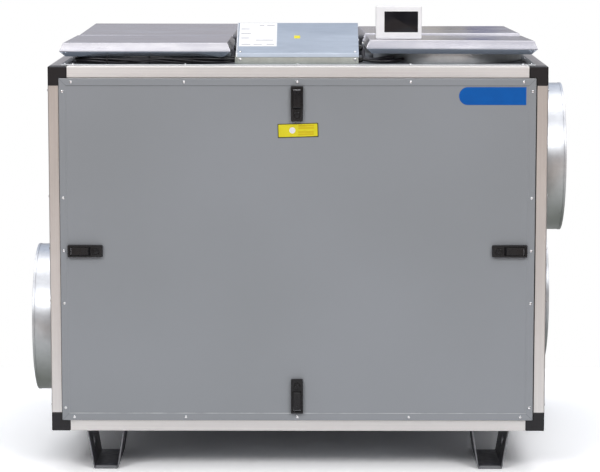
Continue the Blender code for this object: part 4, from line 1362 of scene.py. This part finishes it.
softbox("overhead", (0.0, 0.2, 4.6), (6.0, 1.8), 2.0)
softbox("front_left", (-3.4, -6.4, 4.9), (2.4, 2.4), 9.7)
softbox("front_right", (3.4, -6.4, 4.9), (2.4, 2.4), 9.7)

# %% [markdown]
# ## The room around
#
# What bare metal looks like is mostly what it mirrors, so the room is painted by the direction
# in which a ray leaves. Below the horizon lies a floor, warm and bright in front and dark
# behind. Behind the unit stands a low grey wall with a dark and a deep blue strip, and above it
# comes a paler band and then a light blue one. In front there are side walls with darkness
# between them, and lamps above them that are brightest on the left. To both sides the room is
# dark, and the whole ceiling is bright. Only the camera's own rays see plain white.

# %% Room
world = bpy.data.worlds.new("studio")
scene.world = world
world.use_nodes = True
tree = world.node_tree
background = tree.nodes["Background"]
direction = add_node(tree, "TexCoord", output="Generated")
parts = add_node(tree, "SeparateXYZ", {0: direction}).node.outputs
behind = add_node(tree, "MapRange", {"Value": parts[1], "From Min": -0.4, "From Max": 0.3})


def ramp(value, start, end, *stops):
    """A colour for each place between two values; a stop is (share, red, green, blue)."""
    share = add_node(tree, "MapRange", {"Value": value, "From Min": start, "From Max": end})
    made = add_node(tree, "ValToRGB", {0: share})
    elements = made.node.color_ramp.elements
    while len(elements) < len(stops):
        elements.new(0.5)
    for element, (place, *colour) in zip(elements, stops):
        element.position = place
        element.color = (*colour, 1)
    return made


# The low wall behind, from left to right
WALL_LEVEL = 0.92
wall = ramp(parts[0], -0.1, 0.1, (0.00, 0.43, 0.42, 0.46), (0.45, 0.42, 0.40, 0.44),
            (0.66, 0.46, 0.43, 0.39), (0.74, 0.48, 0.44, 0.36), (0.760, 0.14, 0.14, 0.16),
            (0.785, 0.46, 0.43, 0.34), (0.80, 0.08, 0.08, 0.22), (0.840, 0.09, 0.09, 0.24),
            (0.86, 0.32, 0.31, 0.33), (0.94, 0.34, 0.33, 0.34))
wall = add_node(tree, "VectorMath", {0: wall, "Scale": WALL_LEVEL}, operation="SCALE")
# The lamps in front, from left to right
LAMP_LEVEL = 1.6
lamps = ramp(parts[0], -0.12, 0.12, (0.0, 0.42, 0.42, 0.42), (0.07, 0.50, 0.50, 0.51),
             (0.14, 1.45, 1.45, 1.45), (0.28, 1.02, 1.02, 1.02), (0.46, 0.56, 0.57, 0.58),
             (0.60, 0.36, 0.38, 0.41), (0.88, 0.36, 0.38, 0.41), (1.0, 0.72, 0.72, 0.74))
lamps = add_node(tree, "VectorMath", {0: lamps, "Scale": LAMP_LEVEL}, operation="SCALE")
# The side walls in front, which the collars mirror, and the darkness between them
sides = ramp(parts[0], -0.13, 0.13, (0.0, 0.34, 0.33, 0.34), (0.10, 0.34, 0.33, 0.34),
             (0.18, 0.11, 0.11, 0.12), (0.84, 0.11, 0.11, 0.12), (0.91, 0.26, 0.25, 0.26),
             (1.0, 0.26, 0.25, 0.26))
# What lies in front and what behind, and the heights on a unit ball between which it fades in
ZONES = (((0.95, 0.80, 0.71, 1), (0.20, 0.20, 0.19, 1), -1.0, -0.9),
         (sides, wall, -0.02, 0.02),
         (sides, (0.46, 0.46, 0.48, 1), 0.12, 0.15),
         (lamps, (0.58, 0.66, 0.80, 1), 0.28, 0.45))
room = (0.0, 0.0, 0.0, 1)
for front, back, start, end in ZONES:
    zone = add_node(tree, "Mix", {0: behind, 6: front, 7: back}, 2, data_type="RGBA")
    rise = add_node(tree, "MapRange", {"Value": parts[2], "From Min": start, "From Max": end})
    room = add_node(tree, "Mix", {0: rise, 6: room, 7: zone}, 2, data_type="RGBA")
# The room is dark at both sides, and its whole ceiling is bright
aside = add_node(tree, "Math", {0: parts[0]}, operation="ABSOLUTE")
aside = add_node(tree, "MapRange", {"Value": aside, "From Min": 0.35, "From Max": 0.60})
room = add_node(tree, "Mix", {0: aside, 6: room, 7: (0.14, 0.14, 0.14, 1)}, 2, data_type="RGBA")
ceiling = add_node(tree, "MapRange", {"Value": parts[2], "From Min": 0.70, "From Max": 0.88})
room = add_node(tree, "Mix", {0: ceiling, 6: room, 7: (1.05, 1.05, 1.06, 1)}, 2,
                data_type="RGBA")
seen = add_node(tree, "LightPath", output="Is Camera Ray")
shown = add_node(tree, "Mix", {0: seen, 6: room, 7: (1.0, 1.0, 1.0, 1)}, 2, data_type="RGBA")
tree.links.new(shown, background.inputs["Color"])
scene.view_settings.view_transform = "Standard"
print("view transform:", scene.view_settings.view_transform)

# %% Sizes and finish
low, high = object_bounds()
print("visual box in mm:", [round(v / MM, 1) for v in high - low])
